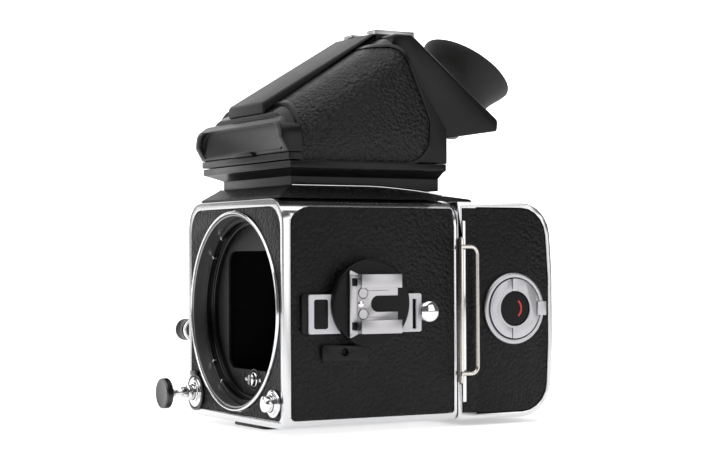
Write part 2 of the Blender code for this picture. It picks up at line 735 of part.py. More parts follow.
def build_fairing():
    """Sloping black cover on the body's top with the pocket that the finder slides into."""
    low, high = TOP + GAP, TOP + FAIRING_HEIGHT
    wide, narrow = HALF - 3.5, COLLAR_HALF + 2.2
    across = [(-wide, low), (wide, low), (wide - 0.4, low + 1.2), (narrow, high), (-narrow, high),
              (0.4 - wide, low + 1.2)]
    fairing = plate("finder_fairing", across, 1.5, BODY_DEPTH - 1.5, "XZ")
    rear = BODY_DEPTH - 1.5
    along = [(2.2, low - 1), (rear + 1, low - 1), (rear + 1, high - 3.2), (rear - 10, high - 1.7), (rear - 22, high - 0.5),
             (rear - 34, high + 0.1), (9.6, high + 0.1), (2.6, low + 1.0)]
    keep_inside(fairing, plate("fairing_side", along, -60, 60, "YZ"))
    pocket = box("finder_pocket", (-COLLAR_HALF - 0.4, 10.0, TOP + POCKET_FLOOR), (COLLAR_HALF + 0.4, 99, TOP + 20))
    well = box("fairing_well", (-28.5, 14.0, TOP - 2), (28.5, 71.5, TOP + 20))
    cut(fairing, pocket, well)
    finish(fairing, "black_paint")


# Magazine -------------------------------------------------------------------------------------------------


def build_magazine_shell():
    front = MAGAZINE_Y
    shell = plate("magazine_shell", magazine_outline(0), -HALF, HALF, "YZ")
    inner = HALF - 3.0
    hollow = plate("magazine_hollow", magazine_outline(MAGAZINE_WALL, MAGAZINE_FRONT_WALL), -inner, inner, "YZ")
    mouth = plate(
        "insert_mouth", magazine_outline(MAGAZINE_WALL - 0.15, STRIP_REAR + 0.3), inner - 1, HALF + 2, "YZ"
    )
    low, high = AXIS_Z - GATE_HALF, AXIS_Z + GATE_HALF
    gate = box("magazine_gate", (-GATE_HALF, front - 2, low), (GATE_HALF, front + MAGAZINE_FRONT_WALL + 1, high))
    half = SLIDE_HEIGHT / 2 + 0.4
    slot = box("darkslide_slot", (-32, front + 0.7, AXIS_Z - half), (HALF + 5, front + 1.9, AXIS_Z + half))
    cut(shell, hollow, mouth, gate, slot)
    strip_seat = box("strip_seat", (HALF - 1.2, front + STRIP_FRONT - GAP, -0.3),
                     (HALF + 2, front + STRIP_REAR + 0.5, LEATHER_HEIGHT + 0.2))
    cut(shell, strip_seat)
    band = plate("band_seat", magazine_outline(-3, 4.5), -HALF + 3.4, HALF - 3.4, "YZ")
    cut(band, plate("band_seat_core", magazine_outline(1.2), -60, 60, "YZ"))
    cut(shell, band)
    cut(shell, cylinder("film_crank_hole", (-HALF, front + 22, AXIS_Z + 20), (1, 0, 0), 3.4, -2, 8, 24))

    leather = plate("magazine_leather", magazine_outline(0.1, 4.9), -HALF + 3.8, HALF - 3.8, "YZ")
    cut(leather, plate("magazine_leather_core", magazine_outline(0.9), -60, 60, "YZ"))
    strip = box("magazine_strip_leather", (HALF - 0.9, front + STRIP_FRONT, 0.1),
                (HALF - 0.1, front + STRIP_REAR, LEATHER_HEIGHT - 0.1))
    press = box("pressure_plate", (-30, front + 4.6, AXIS_Z - 32), (30, front + 5.8, AXIS_Z + 32))

    catch_outline = [(front + 13, TOP - 0.1), (front + 31, TOP - 0.1), (front + 30, TOP + 2.0), (front + 17, TOP + 3.3),
                     (front + 14, TOP + 3.3)]
    catch = plate("magazine_catch", catch_outline, -9.0, 9.0, "YZ")
    slider = axis_empty("magazine_axis", (0, front, AXIS_Z))
    hold(
        slider,
        finish(shell, "chrome"),
        finish(leather, "leather"),
        finish(strip, "leather"),
        finish(press, "inner_black"),
        finish(catch, "black_paint"),
    )
    return slider


def build_film_crank(slider):
    centre = (-HALF, MAGAZINE_Y + 22, AXIS_Z + 20)
    hub = turned(
        "film_crank",
        [(0, 2.6), (6.0, 2.6), (6.6, 2.0), (6.6, 0.4), (3.0, 0.4), (3.0, -2.8), (0, -2.8)],
        centre, (-1, 0, 0), 24, closed=False,
    )
    outline = rounded([(centre[1] - 3.5, centre[2] - 4, 2), (centre[1] + 3.5, centre[2] - 4, 2),
                       (centre[1] + 3.0, centre[2] + 15, 2), (centre[1] - 3.0, centre[2] + 15, 2)])
    join(hub, plate("film_crank_arm", outline, -HALF - 3.8, -HALF - 2.2, "YZ"))
    axis = axis_empty("film_crank_axis", centre)
    hold(axis, finish(hub, "chrome"))
    hold(slider, axis)


def build_darkslide(slider):
    """Thin blade in the magazine's front wall with a wire loop at its outer end."""
    y = MAGAZINE_Y + 1.3
    half = SLIDE_HEIGHT / 2
    blade = box("darkslide_blade", (-30, y - SLIDE_BLADE / 2, AXIS_Z - half), (HALF + 1.2, y + SLIDE_BLADE / 2, AXIS_Z + half))
    x = HALF + 2.6
    radius = 0.9
    bend = 3.0
    near, far = y - 1.6, MAGAZINE_Y + STRIP_REAR - 1.0
    reach = 26.0
    route = [(x, near, AXIS_Z - reach)]
    for step in range(5):
        angle = math.radians(90 * step / 4)
        route.append((x, far - bend + bend * math.sin(angle), AXIS_Z - reach + bend - bend * math.cos(angle)))
    for step in range(5):
        angle = math.radians(90 * step / 4)
        route.append((x, far - bend + bend * math.cos(angle), AXIS_Z + reach - bend + bend * math.sin(angle)))
    route.append((x, near, AXIS_Z + reach))
    handle = wire("darkslide_handle", route, radius)
    axis = axis_empty("darkslide_axis", (x, y, AXIS_Z))
    hold(axis, finish(blade, "wire"), finish(handle, "wire"))
    hold(slider, axis)


def build_insert(slider):
    """Film insert: end cover with its leather, two spools, and the folding key."""
    cover_outline = magazine_outline(MAGAZINE_WALL + GAP, STRIP_REAR + 0.6)
    cover = plate("insert_cover", cover_outline, HALF - 3.4, HALF - 1.2, "YZ")
    leather = plate("insert_leather", cover_outline, HALF - 0.9, HALF - 0.1, "YZ")
    y = MAGAZINE_Y + KEY_Y
    shapes = [finish(cover, "black_paint"), finish(leather, "leather")]
    for name, z in (("supply_spool", SPOOL_Z), ("take_up_spool", LEATHER_HEIGHT - SPOOL_Z)):
        spool = turned(
            name,
            [(0, 31.0), (FLANGE_SIZE, 31.0), (FLANGE_SIZE, 30.0), (CORE_SIZE, 29.9), (CORE_SIZE, -29.9),
             (FLANGE_SIZE, -30.0), (FLANGE_SIZE, -31.0), (0, -31.0)],
            (0, y, z), (1, 0, 0), 20, closed=False,
        )
        spool_axis = axis_empty(name + "_axis", (0, y, z))
        hold(spool_axis, finish(spool, "black_paint"))
        shapes.append(spool_axis)
    axis = axis_empty("insert_axis", (HALF, y, KEY_Z))

    centre = (SKIN, y, KEY_Z)
    key = turned(
        "film_key_ring",
        [(KEY_SIZE, 0.0), (KEY_SIZE - 2.0, 0.0), (KEY_SIZE - 2.0, 1.0), (KEY_SIZE - 1.6, 1.4), (KEY_SIZE - 0.6, 1.4),
         (KEY_SIZE, 0.8)],
        centre, (1, 0, 0), 40,
    )
    shapes.append(finish(key, "light_metal"))
    key_axis = axis_empty("film_key_axis", centre)
    split = y - 1.6
    radius = KEY_SIZE - 2.4
    front_half = plate("film_key_disc", circle_part(y, KEY_Z, radius, split, rear=False), SKIN, SKIN + 1.6, "YZ")
    flap = plate("film_key_flap", circle_part(y, KEY_Z, radius, split + GAP, rear=True), SKIN, SKIN + 1.6, "YZ")
    hub_hole = {"centre": (SKIN, y, KEY_Z), "direction": (1, 0, 0), "radius": KEY_GROOVE, "start": -1, "end": 4, "sides": 32}
    cut(front_half, cylinder("hub_hole_front", **hub_hole))
    cut(flap, cylinder("hub_hole_rear", **hub_hole))
    tab = box("film_key_tab", (SKIN + 0.8, y + radius - 1.5, KEY_Z - 3), (SKIN + 3.0, y + radius + 2.0, KEY_Z + 3))
    cut(flap, tab)
    dial = cylinder("film_key_dial", centre, (1, 0, 0), KEY_GROOVE - GAP, 0.0, 1.3, 32)
    flap_axis = axis_empty("film_key_flap_axis", (SKIN + 1.6, split, KEY_Z))
    hold(flap_axis, finish(flap, "light_metal"))
    hold(key_axis, finish(front_half, "light_metal"), flap_axis)
    shapes.append(finish(dial, "black_paint"))
    shapes.append(key_axis)
    hold(axis, *shapes)
    hold(slider, axis)


def circle_part(y, z, radius, split, rear):
    """Outline of the part of a disc behind or in front of a vertical line."""
    half_angle = math.acos((split - y) / radius)
    start, sweep = (-half_angle, 2 * half_angle) if rear else (half_angle, 2 * math.pi - 2 * half_angle)
    steps = 24
    angles = [start + sweep * step / steps for step in range(steps + 1)]
    return [(y + radius * math.cos(angle), z + radius * math.sin(angle)) for angle in angles]


# Finder ---------------------------------------------------------------------------------------------------


def roof_bar(name, offset):
    """Long bar with rounded shoulders that follows the sloping roof, grown outwards by offset."""
    side = HOUSING_HALF + offset
    round_off = SHOULDER + offset
    corners = [(-side, -90, 0), (side, -90, 0), (side, offset, round_off), (-side, offset, round_off)]
    bar = plate(name, rounded(corners, 6), -60, 140, "XZ")
    start = world(0, ROOF_START_Y, TOP + ROOF_START_Z)
    bar.rotation_euler = (math.pi / 2 + ROOF_SLOPE, 0, 0)
    along = Vector((0, math.cos(ROOF_SLOPE), math.sin(ROOF_SLOPE)))
    bar.location = start + along * 40 * MM
    return bar


def up(outline):
    """Finder outline points lifted onto the body's top."""
    return [(point[0], point[1] + TOP, *point[2:]) for point in outline]


def build_finder_base(slider):
    wide, belt = COLLAR_HALF, BELT_HALF
    across = up([(-wide, FINDER_BASE), (wide, FINDER_BASE), (wide, 9.3), (belt - 2.0, 11.6), (belt, 12.2),
                 (belt, BELT_TOP), (-belt, BELT_TOP), (-belt, 12.2), (2.0 - belt, 11.6), (-wide, 9.3)])
    base = plate("finder_base", across, 2, 82, "XZ")
    along = up([(10.4, FINDER_BASE - 1), (79.6, FINDER_BASE - 1), (79.6, 9.3), (77.6, 11.6), (77.6, BELT_TOP + 1),
                (5.2, BELT_TOP + 1), (5.2, 12.2), (7.0, 11.6), (10.4, 9.3)])
    keep_inside(base, plate("finder_base_side", along, -60, 60, "YZ"))
    cut(base, box("finder_base_well", (-27, 14, TOP), (27, 72, TOP + 30)))
    hold(slider, finish(base, "black_paint"))


def eye_direction():
    return Vector((0, math.cos(EYE_ELEVATION), math.sin(EYE_ELEVATION)))


def build_prism_housing(slider):
    bottom = BELT_TOP + GAP
    profile = up([(5.6, bottom), (79.8, bottom), (79.8, 29.6), (57.6, 61.2), (56.6, 80), (5.6, 80)])
    housing = plate("prism_housing", profile, -HOUSING_HALF - 2, HOUSING_HALF + 2, "YZ")
    keep_inside(housing, roof_bar("housing_roof", 0.0))
    hollow = up([(10.5, bottom - 1), (73.5, bottom - 1), (73.5, 28.0), (54.0, 56.5), (52.0, 57.0), (10.5, 31.0)])
    cut(housing, plate("prism_hollow", hollow, -29, 29, "YZ"))
    cut(housing, cylinder("housing_eye_bore", (0, EYE_Y, TOP + EYE_Z), eye_direction(), 9.5, -52, 5, 32))
    hold(slider, finish(housing, "black_paint"))

    glass = up([(11.5, BELT_TOP + GAP), (71.5, BELT_TOP + GAP), (71.5, 27.0), (53.4, 53.4), (11.5, 29.0)])
    hold(slider, finish(plate("glass_prism", glass, -26.4, 26.4, "YZ"), "glass"))


def leather_profile():
    return rounded(up([
        (11.4, BELT_TOP + 0.5, 1.0), (61.0, BELT_TOP + 0.5, 6.0), (71.2, 25.0, 3.0), (71.2, 31.4, 3.0),
        (57.3, 56.6, 4.0), (50.0, 66.0, 0.0), (38.0, 66.0, 0.0), (11.4, 50.0, 0.0),
    ]), 4)


def build_prism_leathers(slider):
    for name, side in (("left_prism_leather", 1), ("right_prism_leather", -1)):
        near, far = sorted((side * (SPINE_HALF + 2.4), side * (HOUSING_HALF + 3)))
        skin = plate(name, leather_profile(), near, far, "YZ")
        keep_inside(skin, roof_bar(name + "_outer", GAP + LEATHER))
        cut(skin, roof_bar(name + "_inner", GAP))
        hold(slider, finish(skin, "leather"))


def build_finder_front(slider):
    """Front frame of the finder, wider than the housing, with a shallow recess."""
    low, high = BELT_TOP + 3.4, 32.8
    half = BELT_HALF + 0.1
    corners = up([(-half, low, 1.0), (half, low, 1.0), (half, high, 9.0), (-half, high, 9.0)])
    frame = plate("finder_front", rounded(corners), 1.5, 10.9, "XZ")
    inner = HOUSING_HALF + GAP
    cut(frame, box("front_pocket", (-inner, 5.3, TOP), (inner, 20, TOP + 60)))
    recess = up([(-half + 4, low + 2.4, 2.0), (half - 4, low + 2.4, 2.0), (half - 4, high - 2.4, 6.5),
                 (4 - half, high - 2.4, 6.5)])
    cut(frame, plate("front_recess", rounded(recess), -3, 3.4, "XZ"))
    hold(slider, finish(frame, "black_paint"))


def upper_shoe_pocket(name):
    """Cutter for the place that the upper shoe sits in, open at the top and the rear."""
    half = UPPER_SHOE_HALF + GAP
    return box(name, (-half, UPPER_SHOE_FRONT - GAP, TOP + UPPER_SHOE_FLOOR - GAP), (half, 95, TOP + 90))


def build_spine(slider):
    """Raised roof strip that ends in the flat pad under the upper shoe."""
    lift = 0.4

    def roof(y):
        return ROOF_START_Z + SLOPE * (y - ROOF_START_Y)

    profile = up([(5.4, roof(5.4) + lift), (56.2, roof(56.2) + lift), (60.0, 69.8), (68.6, 69.8), (76.0, 64.0),
                  (76.0, 71.5), (57.0, 71.5), (5.4, 39.8)])
    spine = plate("roof_spine", profile, -SPINE_HALF, SPINE_HALF, "YZ")
    round_edges(spine, 1.2, 2, angle=60)
    cut(spine, upper_shoe_pocket("spine_pocket"))
    hold(slider, finish(spine, "black_paint"))

    base = TOP + UPPER_SHOE_FLOOR
    half = UPPER_SHOE_HALF
    across = [(-half, base), (half, base), (half, base + 4.6), (6.3, base + 4.6), (6.3, base + 3.5),
              (SHOE_CHANNEL / 2, base + 3.5), (SHOE_CHANNEL / 2, base + 1.4), (-SHOE_CHANNEL / 2, base + 1.4),
              (-SHOE_CHANNEL / 2, base + 3.5), (-6.3, base + 3.5), (-6.3, base + 4.6), (-half, base + 4.6)]
    hold(slider, finish(plate("finder_shoe", across, UPPER_SHOE_FRONT, UPPER_SHOE_REAR, "XZ"), "light_metal"))


def build_eyepiece(slider):
    """Block behind the prism, with the tube, the lens and the rubber cup on the inclined eye axis."""
    profile = up([(58.2, 61.4), (80.3, 29.9), (85.4, 26.7), (110.9, 30.5), (111.3, 35.2), (68.4, 69.3), (59.4, 69.3)])
    block = plate("eyepiece_block", profile, -EYE_BLOCK_HALF, EYE_BLOCK_HALF, "YZ")
    round_edges(block, 1.5, 2, angle=50)
    axis = eye_direction()
    centre = (0, EYE_Y, TOP + EYE_Z)
    cut(block, cylinder("eye_bore", centre, axis, 12.8, -9, 20, 32))
    cut(block, cylinder("eye_channel", centre, axis, 9.5, -60, 0, 32))
    cut(block, upper_shoe_pocket("block_pocket"))
    hold(slider, finish(block, "black_paint"))

    tube = turned(
        "eyepiece_tube",
        [(12.5, 6.0), (12.5, -8.4), (10.6, -8.4), (10.6, 6.0)],
        centre, axis, 32,
    )
    lens = turned(
        "eyepiece_lens",
        [(0, 1.6), (4.0, 1.3), (8.0, 0.4), (10.3, -0.6), (10.3, -3.0), (0, -3.0)],
        centre, axis, 32, closed=False,
    )
    tip = EYECUP_LENGTH
    cup = turned(
        "eyecup",
        [(16.4, 1.6), (12.8, 1.6), (12.8, 8.0), (13.8, 12.0), (EYECUP_RADIUS - 2.0, tip - 0.6),
         (EYECUP_RADIUS - 0.9, tip), (EYECUP_RADIUS, tip - 0.8), (16.8, 12.0), (16.4, 9.0)],
        centre, axis, 36,
    )
    hold(slider, finish(tube, "dark_metal"), finish(lens, "glass"), finish(cup, "rubber"))


def main():
    build_shell()
    build_leathers()
    build_mount()
    build_mirror_box()
    build_rear_plate()
    build_buttons()
    build_crank()
    build_side_fittings()
    build_shoe_adaptor()
    build_foot()
    build_fairing()
    magazine = build_magazine_shell()
    build_film_crank(magazine)
    build_darkslide(magazine)
    build_insert(magazine)
    finder = axis_empty("finder_axis", (0, 0, TOP))
    build_finder_base(finder)
    build_prism_housing(finder)
    build_prism_leathers(finder)
    build_finder_front(finder)
    build_spine(finder)
    build_eyepiece(finder)


main()
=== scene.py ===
"""Looks of a modular 6 x 6 reflex camera body with a roll-film magazine and a prism finder.

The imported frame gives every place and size. Lengths in this file are millimetres in body coordinates: x to the
right as seen from the front, y backwards from the front leather, z upwards from the leather's lower edge.
"""

import logging
import math
from collections.abc import Callable
from dataclasses import dataclass
from enum import Enum

import bpy
from mathutils import Matrix, Vector


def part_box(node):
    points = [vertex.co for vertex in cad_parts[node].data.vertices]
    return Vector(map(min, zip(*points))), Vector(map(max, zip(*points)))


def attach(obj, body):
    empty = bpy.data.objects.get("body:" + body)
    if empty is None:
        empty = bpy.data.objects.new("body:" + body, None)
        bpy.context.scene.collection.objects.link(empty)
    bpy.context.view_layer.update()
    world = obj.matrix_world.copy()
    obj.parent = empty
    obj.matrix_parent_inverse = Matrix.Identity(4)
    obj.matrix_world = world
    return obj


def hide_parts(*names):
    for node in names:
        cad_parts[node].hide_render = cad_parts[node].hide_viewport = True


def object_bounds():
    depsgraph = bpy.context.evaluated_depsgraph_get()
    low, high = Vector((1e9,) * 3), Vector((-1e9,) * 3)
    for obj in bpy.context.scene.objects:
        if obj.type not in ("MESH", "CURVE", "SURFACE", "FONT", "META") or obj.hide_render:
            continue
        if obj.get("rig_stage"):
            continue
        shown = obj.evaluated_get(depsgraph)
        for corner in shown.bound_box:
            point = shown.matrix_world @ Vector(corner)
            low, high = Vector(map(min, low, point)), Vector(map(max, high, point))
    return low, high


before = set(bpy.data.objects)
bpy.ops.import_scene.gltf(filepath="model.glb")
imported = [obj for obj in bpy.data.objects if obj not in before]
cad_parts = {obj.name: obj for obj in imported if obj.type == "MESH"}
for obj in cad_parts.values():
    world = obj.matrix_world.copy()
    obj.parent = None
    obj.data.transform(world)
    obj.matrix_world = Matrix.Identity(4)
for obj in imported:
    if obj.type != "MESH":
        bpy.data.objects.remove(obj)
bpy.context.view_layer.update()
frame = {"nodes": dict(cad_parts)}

MM = 0.001
MERGE = 0.000002  # metres within which points are one
LOG = logging.getLogger("camera")
SIDES = (("left", 1), ("right", -1))
Piece = bpy.types.Object
Socket = bpy.types.NodeSocket


# Places --------------------------------------------------------------------------------------------------


@dataclass(frozen=True)
class Datum:
    """Body coordinates, taken from the front leather's box."""

    front: float
    base: float

    @classmethod
    def from_frame(cls) -> "Datum":
        """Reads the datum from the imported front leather."""
        low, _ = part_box("front_leather")
        return cls(front=low.y - 0.1 * MM, base=low.z)

    def at(self, x: float, y: float, z: float) -> Vector:
        """Scene position, in metres, of a point in body millimetres.

        Args:
            x: Millimetres to the right, seen from the front.
            y: Millimetres behind the front leather.
            z: Millimetres above the leather's lower edge.

        Returns:
            The position in the row frame.
        """
        return Vector((x * MM, self.front + y * MM, self.base + z * MM))

    def box(self, node: str) -> tuple[Vector, Vector]:
        """Lowest and highest corner of a CAD node, in body millimetres."""
        low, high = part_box(node)
        shift = Vector((0.0, self.front, self.base))
        return (low - shift) / MM, (high - shift) / MM


DATUM = Datum.from_frame()


class Facing(Enum):
    """Direction that a turned piece's axis points to."""

    REAR = (0.0, 1.0, 0.0)
    LEFT = (1.0, 0.0, 0.0)
    RIGHT = (-1.0, 0.0, 0.0)


class Plane(Enum):
    """Plane that a flat outline is drawn in, with the turn that puts it there."""

    SIDE = (math.pi / 2, 0.0, math.pi / 2)
    FRONT = (math.pi / 2, 0.0, 0.0)


# Bench: the modelling moves ------------------------------------------------------------------------------


def deselect() -> None:
    """Leaves nothing selected, in object mode."""
    if bpy.context.mode != "OBJECT":
        bpy.ops.object.mode_set(mode="OBJECT")
    bpy.ops.object.select_all(action="DESELECT")


def pick(*pieces: Piece) -> None:
    """Selects these pieces alone and makes the first one active."""
    deselect()
    for piece in pieces:
        piece.select_set(True)
    bpy.context.view_layer.objects.active = pieces[0]


def settle(piece: Piece) -> None:
    """Puts a piece's place into its mesh, so that its object sits unturned at the origin."""
    pick(piece)
    bpy.ops.object.transform_apply(location=True, rotation=True, scale=True)


def smooth(piece: Piece, angle: float = 35.0) -> None:
    """Shades a piece smooth, with edges sharper than the angle left crisp."""
    pick(piece)
    bpy.ops.object.shade_smooth_by_angle(angle=math.radians(angle), keep_sharp_edges=False)


def apply(piece: Piece, modifier: bpy.types.Modifier) -> None:
    """Applies a modifier to its piece."""
    pick(piece)
    bpy.ops.object.modifier_apply(modifier=modifier.name)


def soften(piece: Piece, width: float, steps: int = 2, angle: float = 30.0) -> None:
    """Rounds a piece's edges with a Bevel that is applied at once.

    Args:
        piece: The piece, in object mode.
        width: Width of the rounding in millimetres.
        steps: Number of segments across it.
        angle: Edges sharper than this, in degrees, are rounded.
    """
    bevel = piece.modifiers.new("soft_edges", "BEVEL")
    bevel.width = width * MM
    bevel.segments = steps
    bevel.limit_method = "ANGLE"
    bevel.angle_limit = math.radians(angle)
    bevel.use_clamp_overlap = False
    bevel.harden_normals = False
    apply(piece, bevel)


def combine(piece: Piece, operation: str, shapes: tuple[Piece, ...]) -> None:
    """Runs one exact Boolean for each shape, and removes the shapes."""
    for shape in shapes:
        step = piece.modifiers.new("combine", "BOOLEAN")
        step.operation = operation
        step.solver = "EXACT"
        step.object = shape
        apply(piece, step)
        bpy.data.objects.remove(shape)


def round_off(piece: Piece, width: float, steps: int = 2, angle: float = 30.0) -> None:
    """Rounds a piece's edges as soften does, then shades it smooth."""
    soften(piece, width, steps, angle)
    smooth(piece)


def carve(piece: Piece, *cutters: Piece) -> None:
    """Cuts the cutters out of a piece and removes them."""
    combine(piece, "DIFFERENCE", cutters)


def keep(piece: Piece, *shapes: Piece) -> None:
    """Keeps only what lies inside each of the shapes, and removes them."""
    combine(piece, "INTERSECT", shapes)


def bevel_where(
    piece: Piece, chosen: Callable[[Vector, Vector], bool], width: float, steps: int
) -> None:
    """Bevels the edges that a test picks by their two ends.

    Args:
        piece: The piece, in object mode and at the origin.
        chosen: Test of an edge's two ends, in body millimetres.
        width: Width of the bevel in millimetres.
        steps: Number of segments.
    """
    pick(piece)
    bpy.ops.object.mode_set(mode="EDIT")
    bpy.ops.mesh.select_mode(type="EDGE")
    bpy.ops.mesh.select_all(action="DESELECT")
    bpy.ops.object.mode_set(mode="OBJECT")
    shift = Vector((0.0, DATUM.front, DATUM.base))
    places = [(vertex.co - shift) / MM for vertex in piece.data.vertices]
    for edge in piece.data.edges:
        edge.select = chosen(places[edge.vertices[0]], places[edge.vertices[1]])
    bpy.ops.object.mode_set(mode="EDIT")
    bpy.ops.mesh.bevel(offset=width * MM, segments=steps, affect="EDGES", clamp_overlap=True)
    bpy.ops.object.mode_set(mode="OBJECT")


def knurl(piece: Piece, centre: tuple, radius: float, height: float, depth: float = 0.16) -> None:
    """Gives a turned piece's rim one tooth for each face, about an axis along y.

    Args:
        piece: The turned piece.
        centre: Centre of the piece, in body millimetres.
        radius: Radius of the rim.
        height: Height of the rim's middle along y.
        depth: Depth of the inset that makes a tooth.
    """
    pick(piece)
    bpy.ops.object.mode_set(mode="EDIT")
    bpy.ops.mesh.select_mode(type="FACE")
    bpy.ops.mesh.select_all(action="DESELECT")
    bpy.ops.object.mode_set(mode="OBJECT")
    middle = DATUM.at(centre[0], centre[1] + height, centre[2])
    for face in piece.data.polygons:
        offset = face.center - middle
        reach = math.hypot(offset.x, offset.z)
        face.select = abs(reach - radius * MM) < 0.1 * MM and abs(offset.y) < 0.3 * MM
    bpy.ops.object.mode_set(mode="EDIT")
    bpy.ops.mesh.inset(thickness=0.1 * MM, depth=-depth * MM, use_individual=True)
    bpy.ops.object.mode_set(mode="OBJECT")
    smooth(piece, 20.0)


def meshed(piece: Piece) -> Piece:
    """Makes a curve a mesh, and gives the new piece."""
    pick(piece)
    bpy.ops.object.convert(target="MESH")
    return bpy.context.object


def wire(name: str, route: list[tuple], radius: float) -> Piece:
    """A round wire along points in body millimetres, drawn as a curve and made a mesh.

    Args:
        name: Name of the new piece.
        route: Points of the wire's middle line.
        radius: Radius of the wire in millimetres.

    Returns:
        The piece, in its place.
    """
    deselect()
    curve = bpy.data.curves.new(name, "CURVE")
    curve.dimensions = "3D"
    curve.bevel_depth = radius * MM
    curve.bevel_resolution = 6
    curve.use_fill_caps = True
    spline = curve.splines.new("POLY")
    spline.points.add(len(route) - 1)
    for point, place in zip(spline.points, route):
        point.co = (*DATUM.at(*place), 1.0)
    piece = bpy.data.objects.new(name, curve)
    bpy.context.scene.collection.objects.link(piece)
    piece = meshed(piece)
    bpy.ops.object.mode_set(mode="EDIT")
    bpy.ops.mesh.select_all(action="SELECT")
    bpy.ops.mesh.remove_doubles(threshold=MERGE)
    bpy.ops.mesh.normals_make_consistent(inside=False)
    bpy.ops.object.mode_set(mode="OBJECT")
    smooth(piece, 50.0)
    return piece


def block(name: str, low: tuple, high: tuple, rounding: float = 0.0) -> Piece:
    """A block between two corners in body millimetres, with its edges rounded when asked."""
    deselect()
    middle = (Vector(low) + Vector(high)) / 2
    size = (Vector(high) - Vector(low)) * MM
    bpy.ops.mesh.primitive_cube_add(size=1.0, location=DATUM.at(*middle))
    piece = bpy.context.object
    piece.name = name
    piece.scale = size
    settle(piece)
    if rounding:
        round_off(piece, rounding, 3)
    return piece


def lathe(
    name: str,
    profile: list[tuple[float, float]],
    centre: tuple,
    facing: Vector | Facing,
    sides: int = 96,
    ring: bool = True,
) -> Piece:
    """A turned piece, made from a circle that is extruded and scaled from point to point of its profile.

    Args:
        name: Name of the new piece.
        profile: (radius, height) points in millimetres. A radius of 0 closes the piece on its axis.
        centre: Centre of height 0, in body millimetres.
        facing: Direction of growing height.
        sides: Number of sides of the circle.
        ring: True joins the last point to the first, for a piece with a hole.

    Returns:
        The piece, in its place.
    """
    deselect()
    points = [(radius, height) for radius, height in profile if radius > 0]
    radius, height = points[0]
    bpy.ops.mesh.primitive_circle_add(vertices=sides, radius=radius * MM, location=(0, 0, 0))
    piece = bpy.context.object
    piece.name = name
    bpy.ops.object.mode_set(mode="EDIT")
    bpy.ops.mesh.select_mode(type="EDGE")
    bpy.ops.mesh.select_all(action="SELECT")
    bpy.ops.transform.translate(value=(0, 0, height * MM))
    for next_radius, next_height in points[1:]:
        move = {"value": (0, 0, (next_height - height) * MM)}
        bpy.ops.mesh.extrude_edges_move(TRANSFORM_OT_translate=move)
        scale = next_radius / radius
        bpy.ops.transform.resize(value=(scale, scale, 1), center_override=(0, 0, 0))
        radius, height = next_radius, next_height
    bpy.ops.mesh.select_all(action="DESELECT")
    bpy.ops.mesh.select_non_manifold()
    if ring:
        bpy.ops.mesh.bridge_edge_loops()
    else:
        bpy.ops.mesh.fill_holes(sides=0)
    bpy.ops.mesh.select_all(action="SELECT")
    bpy.ops.mesh.normals_make_consistent(inside=False)
    bpy.ops.object.mode_set(mode="OBJECT")
    direction = Vector(facing.value if isinstance(facing, Facing) else facing).normalized()
    piece.rotation_euler = direction.to_track_quat("Z", "Y").to_euler()
    piece.location = DATUM.at(*centre)
    settle(piece)
    smooth(piece)
    return piece


def arc_bar(
    name: str, inner: float, outer: float, low: float, high: float, centre: tuple, facing: Facing,
    start: float, sweep: float, steps: int = 24,
) -> Piece:
    """A part of a flat ring, made by spinning a small rectangle about the ring's axis.

    Args:
        name: Name of the new piece.
        inner: Inner radius in millimetres.
        outer: Outer radius in millimetres.
        low: Lower height along the axis.
        high: Upper height along the axis.
        centre: Centre of the ring in body millimetres.
        facing: Direction of the ring's axis.
        start: Angle of the first end in degrees.
        sweep: Angle that the bar covers in degrees.
        steps: Number of steps along the arc.

    Returns:
        The piece, in its place.
    """
    deselect()
    bpy.ops.mesh.primitive_plane_add(size=1.0, location=(0, 0, 0), rotation=(math.pi / 2, 0, 0))
    piece = bpy.context.object
    piece.name = name
    piece.scale = ((outer - inner) * MM, (high - low) * MM, 1)
    piece.location = ((outer + inner) / 2 * MM, 0, (high + low) / 2 * MM)
    settle(piece)
    piece.rotation_euler = (0, 0, math.radians(start))
    settle(piece)
    bpy.ops.object.mode_set(mode="EDIT")
    bpy.ops.mesh.select_all(action="SELECT")
    bpy.ops.mesh.spin(steps=steps, angle=-math.radians(sweep), center=(0, 0, 0), axis=(0, 0, 1))
    bpy.ops.mesh.select_all(action="SELECT")
    bpy.ops.mesh.remove_doubles(threshold=0.00001)
    bpy.ops.mesh.normals_make_consistent(inside=False)
    bpy.ops.object.mode_set(mode="OBJECT")
    piece.rotation_euler = Vector(facing.value).to_track_quat("Z", "Y").to_euler()
    piece.location = DATUM.at(*centre)
    settle(piece)
    smooth(piece)
    return piece


def rounded(corners: list[tuple[float, float, float]], steps: int = 8) -> list[tuple[float, float]]:
    """Outline points of a polygon of (u, v, radius) corners, each corner replaced by an arc."""
    outline = []
    count = len(corners)
    for index, (u, v, radius) in enumerate(corners):
        corner = Vector((u, v))
        if radius <= 0:
            outline.append((u, v))
            continue
        before = (Vector(corners[index - 1][:2]) - corner).normalized()
        after = (Vector(corners[(index + 1) % count][:2]) - corner).normalized()
        half = before.angle(after) / 2
        middle = corner + (before + after).normalized() * radius / math.sin(half)
        first = corner + before * radius / math.tan(half) - middle
        sweep = first.angle_signed(corner + after * radius / math.tan(half) - middle)
        for step in range(steps + 1):
            outline.append(tuple(middle + Matrix.Rotation(-sweep * step / steps, 2) @ first))
    return outline


